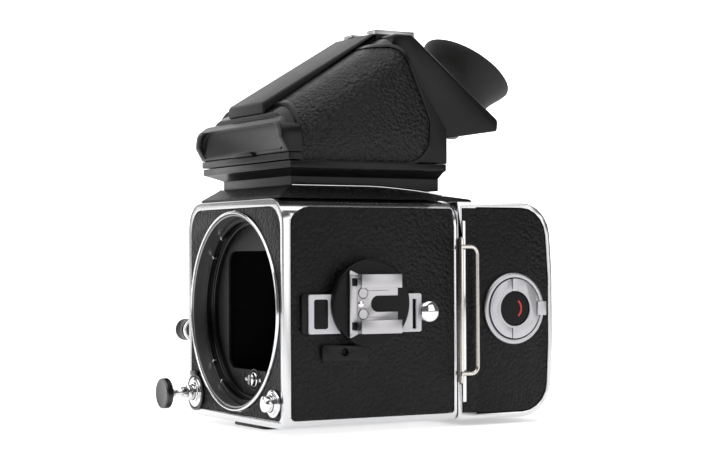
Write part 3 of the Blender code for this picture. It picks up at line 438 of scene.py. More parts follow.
def flat(
    name: str, outline: list[tuple[float, float]], low: float, high: float, plane: Plane, rounding: float = 0.0
) -> Piece:
    """A flat outline drawn as a curve, given its thickness and made a mesh.

    Args:
        name: Name of the new piece.
        outline: Points of the outline in body millimetres, in the plane's own two axes.
        low: Where the thickness starts, across the plane.
        high: Where it ends.
        plane: The plane of the outline.
        rounding: Width of the rounded edges in millimetres.

    Returns:
        The piece, in its place.
    """
    deselect()
    curve = bpy.data.curves.new(name, "CURVE")
    curve.dimensions = "2D"
    curve.fill_mode = "BOTH"
    curve.extrude = (high - low) / 2 * MM
    spline = curve.splines.new("POLY")
    spline.points.add(len(outline) - 1)
    for point, (u, v) in zip(spline.points, outline):
        point.co = (u * MM, v * MM, 0.0, 1.0)
    spline.use_cyclic_u = True
    piece = bpy.data.objects.new(name, curve)
    bpy.context.scene.collection.objects.link(piece)
    piece.rotation_euler = plane.value
    middle = (low + high) / 2
    shift = {Plane.SIDE: (middle, 0, 0), Plane.FRONT: (0, middle, 0)}[plane]
    piece.location = DATUM.at(*shift)
    piece = meshed(piece)
    bpy.ops.object.mode_set(mode="EDIT")
    bpy.ops.mesh.select_all(action="SELECT")
    bpy.ops.mesh.remove_doubles(threshold=MERGE)
    bpy.ops.mesh.dissolve_limited(angle_limit=math.radians(0.5))
    bpy.ops.object.mode_set(mode="OBJECT")
    settle(piece)
    if rounding:
        soften(piece, rounding, 3)
    smooth(piece)
    return piece


def refined(node: str, rounding: float = 0.0, steps: int = 2, angle: float = 30.0) -> Piece:
    """A finer copy of a CAD node: merged, with clean faces and rounded edges.

    Args:
        node: Name of the CAD node that the copy stands for.
        rounding: Width of the rounded edges in millimetres.
        steps: Segments across a rounded edge.
        angle: Edges sharper than this, in degrees, are rounded.

    Returns:
        The copy, which the caller puts in the node's place.
    """
    source = frame["nodes"][node]
    pick(source)
    bpy.ops.object.duplicate()
    piece = bpy.context.object
    piece.parent = None
    for key in list(piece.keys()):
        if key.startswith("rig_"):
            del piece[key]
    piece.name = node + "_finished"
    bpy.ops.mesh.customdata_custom_splitnormals_clear()
    bpy.ops.object.mode_set(mode="EDIT")
    bpy.ops.mesh.select_all(action="SELECT")
    bpy.ops.mesh.remove_doubles(threshold=MERGE)
    bpy.ops.mesh.dissolve_limited(angle_limit=math.radians(0.6))
    bpy.ops.object.mode_set(mode="OBJECT")
    if rounding:
        soften(piece, rounding, steps, angle)
    smooth(piece)
    return piece


# Shader groups -------------------------------------------------------------------------------------------


class Group:
    """A shader node group under construction, with short calls for its nodes and links."""

    def __init__(self, name: str, inputs: dict[str, float], outputs: list[str]) -> None:
        """Makes the group with float inputs and outputs."""
        self.tree = bpy.data.node_groups.new(name, "ShaderNodeTree")
        for label, value in inputs.items():
            socket = self.tree.interface.new_socket(label, in_out="INPUT", socket_type="NodeSocketFloat")
            socket.default_value = value
        for label in outputs:
            self.tree.interface.new_socket(label, in_out="OUTPUT", socket_type="NodeSocketFloat")
        self.start = self.tree.nodes.new("NodeGroupInput")
        self.end = self.tree.nodes.new("NodeGroupOutput")
        self.place = self.add("ShaderNodeTexCoord").outputs["Object"]

    def add(self, kind: str, **values: object) -> bpy.types.Node:
        """Adds a node and sets its plain properties."""
        node = self.tree.nodes.new(kind)
        for label, value in values.items():
            setattr(node, label, value)
        return node

    def link(self, source: Socket, target: Socket) -> None:
        """Joins two sockets."""
        self.tree.links.new(source, target)

    def maths(self, operation: str, *terms: object) -> Socket:
        """A Math node of numbers and sockets, giving its output."""
        node = self.add("ShaderNodeMath", operation=operation)
        for socket, term in zip(node.inputs, terms):
            if isinstance(term, Socket):
                self.link(term, socket)
            else:
                socket.default_value = term
        return node.outputs[0]

    def noise(self, scale: object, detail: float = 4.0, roughness: float = 0.55, place: object = None) -> object:
        """A Noise texture's value at this scale per metre."""
        node = self.add("ShaderNodeTexNoise")
        self.link(place or self.place, node.inputs["Vector"])
        if isinstance(scale, Socket):
            self.link(scale, node.inputs["Scale"])
        else:
            node.inputs["Scale"].default_value = scale
        node.inputs["Detail"].default_value = detail
        node.inputs["Roughness"].default_value = roughness
        return node.outputs["Fac"]

    def stretched(self, x: float, y: float, z: float) -> Socket:
        """Object coordinates scaled along the axes, for brushed marks."""
        node = self.add("ShaderNodeMapping")
        self.link(self.place, node.inputs["Vector"])
        node.inputs["Scale"].default_value = (x, y, z)
        return node.outputs["Vector"]


def pebble_group() -> bpy.types.ShaderNodeTree:
    """Pebbled leather grain: a height and a mask of the hollows between the pebbles, which the leather uses for
    painted shade in the hollows.
    """
    group = Group("pebble_grain", {"Size": 900.0, "Wrinkle": 0.4}, ["Height", "HollowShade"])
    size = group.start.outputs["Size"]
    warp = group.add("ShaderNodeTexNoise")
    group.link(group.place, warp.inputs["Vector"])
    group.link(size, warp.inputs["Scale"])
    warp.inputs["Detail"].default_value = 2.0
    bend = group.add("ShaderNodeVectorMath", operation="SCALE")
    group.link(warp.outputs["Color"], bend.inputs[0])
    bend.inputs["Scale"].default_value = 0.0009
    shifted = group.add("ShaderNodeVectorMath", operation="ADD")
    group.link(group.place, shifted.inputs[0])
    group.link(bend.outputs[0], shifted.inputs[1])
    cells = group.add("ShaderNodeTexVoronoi", feature="SMOOTH_F1")
    group.link(shifted.outputs[0], cells.inputs["Vector"])
    group.link(size, cells.inputs["Scale"])
    cells.inputs["Smoothness"].default_value = 0.35
    fine = group.add("ShaderNodeTexVoronoi", feature="F1")
    group.link(shifted.outputs[0], fine.inputs["Vector"])
    group.link(group.maths("MULTIPLY", size, 2.3), fine.inputs["Scale"])
    wrinkle = group.noise(group.maths("MULTIPLY", size, 0.33), 5.0, 0.6, group.stretched(1.0, 1.0, 0.45))
    dome = group.maths("SUBTRACT", 1.0, cells.outputs["Distance"])
    small = group.maths("MULTIPLY", fine.outputs["Distance"], -0.3)
    folds = group.maths("MULTIPLY", wrinkle, group.start.outputs["Wrinkle"])
    height = group.maths("ADD", group.maths("ADD", dome, small), folds)
    group.link(height, group.end.inputs["Height"])
    hollow_shade = group.add("ShaderNodeMapRange")
    group.link(height, hollow_shade.inputs["Value"])
    hollow_shade.inputs["From Min"].default_value = 0.55
    hollow_shade.inputs["From Max"].default_value = 0.9
    hollow_shade.inputs["To Min"].default_value = 1.0
    hollow_shade.inputs["To Max"].default_value = 0.0
    group.link(hollow_shade.outputs["Result"], group.end.inputs["HollowShade"])
    return group.tree


def handling_group() -> bpy.types.ShaderNodeTree:
    """Marks of use: smears that change the gloss, fine hairlines, and a light dust."""
    group = Group("handling_marks", {"Smears": 0.5, "Hairlines": 0.3, "Dust": 0.2}, ["Gloss", "Scratch", "Dust"])
    broad = group.noise(38.0, 4.0, 0.6)
    middle = group.noise(240.0, 3.0, 0.55)
    mixed = group.maths("ADD", group.maths("MULTIPLY", broad, 0.65), group.maths("MULTIPLY", middle, 0.35))
    centred = group.maths("SUBTRACT", mixed, 0.5)
    group.link(group.maths("MULTIPLY", centred, group.start.outputs["Smears"]), group.end.inputs["Gloss"])
    lines = group.noise(1.0, 2.0, 0.5, group.stretched(260.0, 5200.0, 900.0))
    crossed = group.noise(1.0, 2.0, 0.5, group.stretched(4800.0, 300.0, 700.0))
    sharp = group.maths("GREATER_THAN", group.maths("MAXIMUM", lines, crossed), 0.74)
    group.link(group.maths("MULTIPLY", sharp, group.start.outputs["Hairlines"]), group.end.inputs["Scratch"])
    specks = group.add("ShaderNodeTexVoronoi", feature="F1")
    group.link(group.place, specks.inputs["Vector"])
    specks.inputs["Scale"].default_value = 420.0
    spot = group.maths("LESS_THAN", specks.outputs["Distance"], 0.09)
    patch = group.maths("GREATER_THAN", broad, 0.55)
    dust = group.maths("MULTIPLY", group.maths("MULTIPLY", spot, patch), group.start.outputs["Dust"])
    group.link(dust, group.end.inputs["Dust"])
    return group.tree


def brushed_group() -> bpy.types.ShaderNodeTree:
    """Brushed metal: fine lines along y, on faces that look sideways."""
    group = Group("brushed_lines", {"Depth": 1.0}, ["Height", "Tone"])
    fine = group.noise(1.0, 2.0, 0.6, group.stretched(3000.0, 60.0, 9000.0))
    wide = group.noise(1.0, 2.0, 0.6, group.stretched(900.0, 20.0, 2600.0))
    lines = group.maths("ADD", group.maths("MULTIPLY", fine, 0.6), group.maths("MULTIPLY", wide, 0.4))
    group.link(group.maths("MULTIPLY", lines, group.start.outputs["Depth"]), group.end.inputs["Height"])
    group.link(lines, group.end.inputs["Tone"])
    return group.tree


def grit_group() -> bpy.types.ShaderNodeTree:
    """Fine grit of a cast or enamelled surface."""
    group = Group("fine_grit", {"Size": 3000.0}, ["Height"])
    grit = group.noise(group.start.outputs["Size"], 3.0, 0.65)
    group.link(grit, group.end.inputs["Height"])
    return group.tree


GROUPS = {
    "pebble": pebble_group(),
    "handling": handling_group(),
    "brushed": brushed_group(),
    "grit": grit_group(),
}


# Finishes ------------------------------------------------------------------------------------------------


class Paint:
    """A material under construction around one Principled shader."""

    def __init__(self, name: str) -> None:
        """Makes the material and keeps its shader."""
        self.material = bpy.data.materials.new(name)
        self.material.use_nodes = True
        self.tree = self.material.node_tree
        self.shader = self.tree.nodes["Principled BSDF"]

    def group(self, name: str, **values: float) -> bpy.types.Node:
        """Places one of the shared groups with its own values."""
        node = self.tree.nodes.new("ShaderNodeGroup")
        node.node_tree = GROUPS[name]
        for label, value in values.items():
            node.inputs[label].default_value = value
        return node

    def link(self, source: Socket, target: Socket) -> None:
        """Joins two sockets."""
        self.tree.links.new(source, target)

    def blend(self, first: tuple, second: tuple, mask: Socket) -> Socket:
        """A colour that goes from first to second with the mask."""
        node = self.tree.nodes.new("ShaderNodeMix")
        node.data_type = "RGBA"
        for label, colour in (("A", first), ("B", second)):
            socket = [s for s in node.inputs if s.name == label and s.type == "RGBA"][0]
            if isinstance(colour, Socket):
                self.link(colour, socket)
            else:
                socket.default_value = (*colour, 1.0)
        self.link(mask, node.inputs["Factor"])
        return [s for s in node.outputs if s.type == "RGBA"][0]

    def shift(self, base: float, change: Socket, low: float, high: float) -> Socket:
        """A value of base plus the change, kept between low and high."""
        added = self.tree.nodes.new("ShaderNodeMath")
        added.operation = "ADD"
        added.inputs[0].default_value = base
        self.link(change, added.inputs[1])
        held = self.tree.nodes.new("ShaderNodeClamp")
        self.link(added.outputs[0], held.inputs["Value"])
        held.inputs["Min"].default_value = low
        held.inputs["Max"].default_value = high
        return held.outputs[0]

    def bump(self, height: Socket, depth: float, under: object = None) -> Socket:
        """A Bump node of this depth in millimetres, on top of another one when given."""
        node = self.tree.nodes.new("ShaderNodeBump")
        node.inputs["Distance"].default_value = depth * MM
        self.link(height, node.inputs["Height"])
        if under is not None:
            self.link(under, node.inputs["Normal"])
        return node.outputs["Normal"]


@dataclass(frozen=True)
class Metal:
    """Bare or plated metal."""

    name: str
    colour: tuple
    roughness: float
    smears: float = 0.12
    hairlines: float = 0.1
    brushed: float = 0.0
    grit: float = 0.0
    grit_size: float = 3000.0

    def make(self) -> bpy.types.Material:
        """Builds the material."""
        paint = Paint(self.name)
        shader = paint.shader
        shader.inputs["Metallic"].default_value = 1.0
        marks = paint.group("handling", Smears=self.smears, Hairlines=self.hairlines, Dust=0.0)
        darker = tuple(0.82 * part for part in self.colour)
        tone = marks.outputs["Scratch"]
        if self.brushed:
            lines = paint.group("brushed", Depth=1.0)
            tone = lines.outputs["Tone"]
            paint.link(paint.bump(lines.outputs["Height"], self.brushed), shader.inputs["Normal"])
        elif self.grit:
            grains = paint.group("grit", Size=self.grit_size)
            paint.link(paint.bump(grains.outputs["Height"], self.grit), shader.inputs["Normal"])
        paint.link(paint.blend(self.colour, darker, tone), shader.inputs["Base Color"])
        gloss = paint.shift(self.roughness, marks.outputs["Gloss"], 0.04, 0.9)
        paint.link(gloss, shader.inputs["Roughness"])
        return paint.material


@dataclass(frozen=True)
class Coating:
    """Enamel, moulded plastic or rubber: not metallic, with fine grit and marks of use."""

    name: str
    colour: tuple
    roughness: float
    grit: float = 0.02
    grit_size: float = 3500.0
    smears: float = 0.25
    dust: float = 0.15
    specular: float = 0.5

    def make(self) -> bpy.types.Material:
        """Builds the material."""
        paint = Paint(self.name)
        shader = paint.shader
        shader.inputs["Specular IOR Level"].default_value = self.specular
        marks = paint.group("handling", Smears=self.smears, Hairlines=0.15, Dust=self.dust)
        grains = paint.group("grit", Size=self.grit_size)
        paint.link(paint.bump(grains.outputs["Height"], self.grit), shader.inputs["Normal"])
        lighter = tuple(min(1.0, part * 1.4 + 0.004) for part in self.colour)
        scratched = paint.blend(self.colour, lighter, marks.outputs["Scratch"])
        dusty = paint.blend(scratched, (0.22, 0.215, 0.2), marks.outputs["Dust"])
        paint.link(dusty, shader.inputs["Base Color"])
        gloss = paint.shift(self.roughness, marks.outputs["Gloss"], 0.1, 1.0)
        paint.link(gloss, shader.inputs["Roughness"])
        return paint.material


@dataclass(frozen=True)
class Leather:
    """Black pebbled leather covering, with painted shade in the grain's hollows."""

    name: str
    colour: tuple = (0.0055, 0.0052, 0.0062)
    pebble: float = 640.0
    depth: float = 0.42
    roughness: float = 0.46
    dust: float = 0.03
    specular: float = 0.22

    def make(self) -> bpy.types.Material:
        """Builds the material."""
        paint = Paint(self.name)
        shader = paint.shader
        shader.inputs["Specular IOR Level"].default_value = self.specular
        grain = paint.group("pebble", Size=self.pebble, Wrinkle=0.5)
        grit = paint.group("grit", Size=5200.0)
        marks = paint.group("handling", Smears=0.3, Hairlines=0.0, Dust=self.dust)
        low = paint.bump(grit.outputs["Height"], 0.012)
        paint.link(paint.bump(grain.outputs["Height"], self.depth, low), shader.inputs["Normal"])
        # Painted shade: the base colour darkens to a third in the hollows between the pebbles.
        hollow_shade_colour = tuple(part * 0.35 for part in self.colour)
        base = paint.blend(self.colour, hollow_shade_colour, grain.outputs["HollowShade"])
        dusty = paint.blend(base, (0.3, 0.29, 0.28), marks.outputs["Dust"])
        paint.link(dusty, shader.inputs["Base Color"])
        gloss = paint.shift(self.roughness, marks.outputs["Gloss"], 0.25, 0.95)
        paint.link(gloss, shader.inputs["Roughness"])
        return paint.material


@dataclass(frozen=True)
class ClearGlass:
    """Polished optical glass with a faint tint."""

    name: str
    colour: tuple = (0.93, 0.97, 0.95)
    roughness: float = 0.02

    def make(self) -> bpy.types.Material:
        """Builds the material."""
        paint = Paint(self.name)
        shader = paint.shader
        shader.inputs["Transmission Weight"].default_value = 1.0
        shader.inputs["IOR"].default_value = 1.52
        marks = paint.group("handling", Smears=0.06, Hairlines=0.0, Dust=0.0)
        edge = tuple(part * 0.96 for part in self.colour)
        paint.link(paint.blend(self.colour, edge, marks.outputs["Gloss"]), shader.inputs["Base Color"])
        gloss = paint.shift(self.roughness, marks.outputs["Gloss"], 0.0, 0.2)
        paint.link(gloss, shader.inputs["Roughness"])
        return paint.material


FINISHES = {
    "satin_chrome": Metal("satin_chrome", (0.66, 0.66, 0.67), 0.2, smears=0.1, grit=0.0004, grit_size=3000.0),
    "bright_chrome": Metal("bright_chrome", (0.78, 0.78, 0.79), 0.11, smears=0.06),
    "well_grey": Metal("well_grey", (0.33, 0.33, 0.34), 0.38, grit=0.004),
    "baffle_grey": Coating("baffle_grey", (0.011, 0.011, 0.012), 0.5, grit=0.01, dust=0.01, specular=0.25),
    "lug_steel": Metal("lug_steel", (0.75, 0.75, 0.74), 0.2),
    "dark_steel": Metal("dark_steel", (0.1, 0.1, 0.1), 0.34, hairlines=0.4),
    "plate_grey": Coating("plate_grey", (0.6, 0.6, 0.63), 0.5, grit=0.008, dust=0.03),
    "brushed_silver": Metal("brushed_silver", (0.5, 0.49, 0.505), 0.32, brushed=0.03),
    "black_enamel": Coating("black_enamel", (0.005, 0.005, 0.0058), 0.32, grit=0.006, dust=0.02, specular=0.22),
    "disc_black": Coating("disc_black", (0.004, 0.004, 0.0046), 0.4, grit=0.006, dust=0.03, specular=0.17),
    "inner_black": Coating("inner_black", (0.003, 0.003, 0.0034), 0.8, grit=0.05, dust=0.0, specular=0.12),
    "bayonet_dark": Metal("bayonet_dark", (0.05, 0.05, 0.05), 0.3, hairlines=0.3),
    "recess_grey": Coating("recess_grey", (0.035, 0.035, 0.035), 0.4, grit=0.006, dust=0.0),
    "wear_line": Metal("wear_line", (0.32, 0.3, 0.28), 0.4),
    "key_silver": Metal("key_silver", (0.52, 0.52, 0.54), 0.36, brushed=0.008),
    "dial_black": Coating("dial_black", (0.005, 0.005, 0.006), 0.5, grit=0.01, dust=0.03, specular=0.18),
    "strip_black": Coating(
        "strip_black", (0.008, 0.008, 0.009), 0.48, grit=0.06, grit_size=1900.0, dust=0.04, specular=0.25
    ),
    "fairing_grain": Leather("fairing_grain", pebble=800.0, depth=0.4),
    "leather": Leather("pebbled_leather"),
    # Front leather: the same leather made lighter, painted light for the key light on the front face.
    "front_leather": Leather("front_leather_painted_lit", (0.0085, 0.008, 0.009), roughness=0.5),
    "finder_leather": Leather("finder_leather_grain", pebble=760.0, depth=0.5, roughness=0.4, specular=0.3),
    "slide_steel": Metal("slide_steel", (0.62, 0.59, 0.55), 0.24, smears=0.2),
    "rubber": Coating(
        "eyecup_rubber", (0.009, 0.0085, 0.008), 0.6, grit=0.03, grit_size=2600.0, dust=0.1, specular=0.35
    ),
    "black_plastic": Coating("black_plastic", (0.008, 0.008, 0.008), 0.36, specular=0.3),
    "red_mark": Coating("red_mark", (0.55, 0.02, 0.015), 0.4, grit=0.004, dust=0.0),
    "glass": ClearGlass("finder_glass"),
    "mirror": Metal("silvered_mirror", (0.92, 0.92, 0.92), 0.03, smears=0.02, hairlines=0.0),
}
MATERIALS = {label: made.make() for label, made in FINISHES.items()}


def dress(piece: Piece, finish: str) -> None:
    """Gives a piece one of the finishes."""
    piece.data.materials.clear()
    piece.data.materials.append(MATERIALS[finish])


def fit(piece: Piece, body: str, finish: str, slot: str, *nodes: str) -> Piece:
    """Dresses a piece, makes it ride on its body, and lets it stand for CAD nodes.

    Args:
        piece: The finished piece.
        body: The CAD body that it rides on.
        finish: Label of its finish.
        slot: The record's material slot; not used.
        nodes: CAD nodes that it stands for.

    Returns:
        The piece.
    """
    dress(piece, finish)
    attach(piece, body)
    if nodes:
        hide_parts(*nodes)
    LOG.info("%s on %s in %s", piece.name, body, finish)
    return piece


def carry(node: str, rounding: float, body: str, finish: str, slot: str) -> Piece:
    """Refines a CAD node whose shape is right, and dresses the copy in its place."""
    return fit(refined(node, rounding), body, finish, slot, node)


# Sub-assemblies ------------------------------------------------------------------------------------------


@dataclass
class BodyShell:
    """Cast shell with its bright edges, the leathers, the foot and the strap studs."""

    half: float = 44.5
    top: float = 86.7
    bottom: float = -3.3
    edge: float = 1.1
    body: str = "camera_body"

    def on_outer_edge(self, first: Vector, second: Vector) -> bool:
        """True for an edge of the shell's outer block, apart from those towards the magazine."""
        sides = (
            ("x", self.half), ("x", -self.half), ("y", 0.0), ("z", self.top), ("z", self.bottom),
        )
        met = 0
        for axis, place in sides:
            if abs(getattr(first, axis) - place) < 0.02 and abs(getattr(second, axis) - place) < 0.02:
                met += 1
        return met >= 2

    def build(self) -> None:
        """Builds and dresses the pieces."""
        shell = refined("body_shell")
        bevel_where(shell, self.on_outer_edge, self.edge, 4)
        round_off(shell, 0.16, 2)
        fit(shell, self.body, "satin_chrome", "satin_chrome_alloy", "body_shell")
        # The front leather's finish is a lighter copy of the side leather: painted light for the key light on the
        # front face.
        leathers = {"front_leather": "front_leather", "left_leather": "leather", "right_leather": "leather"}
        for node, finish in leathers.items():
            fit(refined(node, 0.22), self.body, finish, "black_leather", node)
        carry("tripod_foot", 0.3, self.body, "black_enamel", "black_alloy")
        for node, facing, side in (("left_strap_stud", Facing.LEFT, 1), ("right_strap_stud", Facing.RIGHT, -1)):
            profile = [(2.6, 0.0), (2.6, 2.6), (3.8, 2.8), (4.35, 3.2), (4.5, 3.7), (4.35, 4.4), (3.8, 5.1),
                       (2.8, 5.6), (1.4, 5.9)]
            stud = lathe(node + "_ball", profile, (side * 44.8, 64.0, 41.5), facing, 64, ring=False)
            fit(stud, self.body, "bright_chrome", "bright_chrome", node)


@dataclass
class Mount:
    """Lens mount: chrome ring, satin well, bayonet lugs, baffle, and the drive shaft's key."""

    radius: float = 40.9
    inner: float = 39.8
    axis_z: float = 41.7
    shaft_z: float = 13.2
    lug_gap: float = 17.0
    body: str = "camera_body"

    def build(self) -> None:
        """Builds and dresses the pieces."""
        centre = (0.0, 0.0, self.axis_z)
        ring = lathe(
            "mount_front_ring",
            [(self.inner, 0.9), (self.radius, 0.9), (self.radius, -0.6), (self.radius - 0.15, -0.88),
             (self.radius - 0.4, -1.0), (self.inner + 0.3, -1.0), (self.inner + 0.08, -0.9), (self.inner, -0.7)],
            centre, Facing.REAR, 160,
        )
        fit(ring, self.body, "bright_chrome", "bright_chrome", "mount_ring")
        wall = self.inner - 0.3
        well = lathe(
            "mount_inner_wall",
            [(wall - 0.6, 6.0), (wall, 6.0), (wall, -0.4), (wall - 0.45, -0.4), (wall - 0.6, -0.25)],
            centre, Facing.REAR, 160,
        )
        fit(well, self.body, "well_grey", "grey_satin_alloy", "mount_well")
        self.build_bayonet(centre, wall - 0.9)
        self.build_baffle()
        self.build_key()
        turn = math.radians(65)
        spot = (38.6 * math.cos(turn), 1.6, self.axis_z + 38.6 * math.sin(turn))
        towards = Vector((-math.cos(turn), 0, -math.sin(turn)))
        mark = lathe("mount_index_mark", [(0.8, -0.3), (0.8, 0.28), (0.6, 0.4)], spot, towards, 24, ring=False)
        fit(mark, self.body, "red_mark", "bright_chrome")

    def build_bayonet(self, centre: tuple, lug: float) -> None:
        """Builds the stepped bayonet ring with its four lugs, and bright steel chips at the lug ends as painted
        highlights.

        Args:
            centre: Centre of the ring.
            lug: Outer radius of the ring.
        """
        ring = lathe(
            "bayonet_seat_ring",
            [(lug - 3.4, 9.2), (lug, 9.2), (lug, 5.0), (lug - 0.6, 4.9), (lug - 0.7, 5.1), (lug - 0.7, 7.1),
             (lug - 1.9, 7.2), (lug - 2.0, 7.45), (lug - 3.2, 7.5), (lug - 3.4, 7.7)],
            centre, Facing.REAR, 160,
        )
        fit(ring, self.body, "bayonet_dark", "dark_steel", "bayonet_ring")
        for index in range(4):
            start = 45.0 + 90.0 * index + self.lug_gap / 2
            sweep = 90.0 - self.lug_gap
            bar = arc_bar(
                f"bayonet_lug_{index + 1}", lug - 1.9, lug - 0.5, 4.8, 5.9, centre, Facing.REAR, start, sweep
            )
            fit(bar, self.body, "bayonet_dark", "dark_steel")
            # Bright steel chips at both ends of each lug: painted highlight for the glints on the lug ends.
            for label, angle in (("first", start - 0.6), ("last", start + sweep - 1.0)):
                glint_chip = arc_bar(
                    f"lug_end_glint_{index + 1}_{label}", lug - 2.1, lug - 0.4, 4.6, 6.3, centre, Facing.REAR, angle, 1.6, 3
                )
                round_off(glint_chip, 0.2, 2)
                fit(glint_chip, self.body, "lug_steel", "dark_steel")

    def build_baffle(self) -> None:
        """Builds the baffle with the arc around the drive shaft, and the liner of the mirror box."""
        carry("front_baffle", 0.2, self.body, "baffle_grey", "grey_satin_alloy")
        place = (0.0, 9.5, self.shaft_z)
        for name, inner, outer, height in (
            ("shaft_recess_edge", 10.1, 10.6, -0.25), ("shaft_inner_edge", 4.0, 4.5, -0.3)
        ):
            half = math.degrees(math.asin(min(1.0, 3.7 / outer)))
            start, sweep = (180.0 - half, 180.0 + 2 * half) if outer > 5 else (0.0, 359.0)
            edge = arc_bar(name, inner, outer, height, 0.1, place, Facing.REAR, start, sweep, 48)
            fit(edge, self.body, "recess_grey", "grey_satin_alloy")
        carry("mirror_box", 0.2, self.body, "inner_black", "black_inside")
        carry("rear_plate", 0.2, self.body, "inner_black", "black_alloy")
        carry("focusing_screen", 0.15, self.body, "glass", "clear_glass")
        for side in (-1, 1):
            low, high = sorted((side * 27.9, side * 27.3))
            ledge = block(
                f"mirror_box_ledge_{'left' if side > 0 else 'right'}", (low, 13.0, 14.4), (high, 72.0, 41.0), 0.15
            )
            fit(ledge, self.body, "inner_black", "black_inside")

    def build_key(self) -> None:
        """Builds the slotted key at the end of the drive shaft and the two pins beside it."""
        place = (0.0, 0.0, self.shaft_z)
        key = lathe(
            "drive_shaft_key",
            [(3.2, 10.7), (3.2, 9.0), (2.7, 8.8), (2.7, 7.65), (2.5, 7.4)],
            place, Facing.REAR, 64, ring=False,
        )
        carve(key, block("key_slot", (-0.85, 5.0, self.shaft_z - 5), (0.85, 8.85, self.shaft_z + 5)))
        round_off(key, 0.12, 2)
        fit(key, "drive_shaft", "bright_chrome", "bright_chrome", "drive_shaft")
        for side in (-1, 1):
            spot = (side * 6.3, 9.5, self.shaft_z)
            pin = lathe(
                f"key_side_pin_{'left' if side > 0 else 'right'}", [(0.9, 0.1), (0.9, -0.7), (0.65, -0.95)],
                spot, Facing.REAR, 24, ring=False,
            )
            fit(pin, self.body, "lug_steel", "grey_satin_alloy")


@dataclass
class Shutters:
    """Mirror and the two rear flaps."""

    def build(self) -> None:
        """Builds and dresses the pieces."""
        carry("mirror", 0.15, "mirror", "mirror", "mirror_glass")
        for node in ("upper_flap", "lower_flap"):
            fit(refined(node, 0.12), node, "inner_black", "black_inside", node)


@dataclass
class FrontButtons:
    """Lens lock on one lower corner, release with its extension on the other."""

    side: float = 36.6
    height: float = 6.3
    bore: float = 3.5

    def plate(self, name: str, side: float, radius: float, node: str) -> None:
        """Builds one of the stepped plates around a button."""
        profile = [
            (self.bore, -0.2), (radius, -0.2), (radius, -0.85), (radius - 0.12, -1.08), (radius - 0.4, -1.2),
            (self.bore + 1.05, -1.2), (self.bore + 0.92, -1.3), (self.bore + 0.85, -1.8), (self.bore + 0.65, -2.0),
            (self.bore, -2.0),
        ]
        piece = lathe(name, profile, (side, 0.0, self.height), Facing.REAR, 72)
        fit(piece, "camera_body", "bright_chrome", "bright_chrome", node)

    def build(self) -> None:
        """Builds and dresses the pieces."""
        self.plate("lens_lock_collar", self.side, 5.5, "lens_lock_plate")
        self.plate("release_collar", -self.side, 6.4, "release_plate")
        shape = [(3.2, 1.0), (3.2, -2.6), (3.0, -2.75), (3.0, -2.95), (3.2, -3.1), (3.2, -4.4), (3.05, -4.8), (
            2.7, -5.0
        ),
                 (2.0, -5.1)]
        lock = lathe("lens_lock_cap", shape, (self.side, 0.0, self.height), Facing.REAR, 64, ring=False)
        fit(lock, "lens_lock_button", "bright_chrome", "bright_chrome", "lens_lock_button")
        place = (-self.side, 0.0, self.height)
        button = lathe("release_cap", shape, place, Facing.REAR, 64, ring=False)
        fit(button, "release", "bright_chrome", "bright_chrome", "release_button")
        stem = lathe(
            "release_stem",
            [(2.6, -5.15), (2.6, -6.9), (2.35, -7.2), (1.7, -7.3), (1.5, -7.6), (1.35, -10.2), (1.9, -10.9), (
                2.6, -11.9
            ),
             (2.6, -12.4)],
            place, Facing.REAR, 48, ring=False,
        )
        fit(stem, "release", "lug_steel", "dark_steel")
        disc = lathe(
            "release_disc",
            [(3.0, -12.4), (5.4, -13.1), (6.2, -13.4), (6.4, -13.7), (6.4, -15.8), (6.25, -16.2), (5.9, -16.4),
             (5.2, -16.3), (3.2, -16.15), (1.2, -16.1)],
            place, Facing.REAR, 96, ring=False,
        )
        knurl(disc, place, 6.4, -14.75)
        fit(disc, "release", "dark_steel", "dark_steel", "release_extension")
        lever = refined("time_lever", 0.1)
        fit(lever, "time_lever", "dark_steel", "bright_chrome", "time_lever")


@dataclass
class WindingCrank:
    """Crank on the right side with its knob."""

    def build(self) -> None:
        """Builds and dresses the pieces."""
        carry("winding_crank", 0.3, "winding_crank", "bright_chrome", "bright_chrome")
        low, high = DATUM.box("crank_knob")
        middle = (low + high) / 2
        knob = lathe(
            "crank_knob_grip",
            [(3.6, 0.0), (4.5, 0.5), (4.8, 1.4), (4.2, 3.4), (4.0, 5.4), (4.4, 7.4), (4.7, 8.2), (4.3, 8.8),
             (3.0, 9.0)],
            (high.x, middle.y, middle.z), Facing.RIGHT, 48, ring=False,
        )
        fit(knob, "crank_knob", "black_plastic", "black_plastic", "crank_knob")


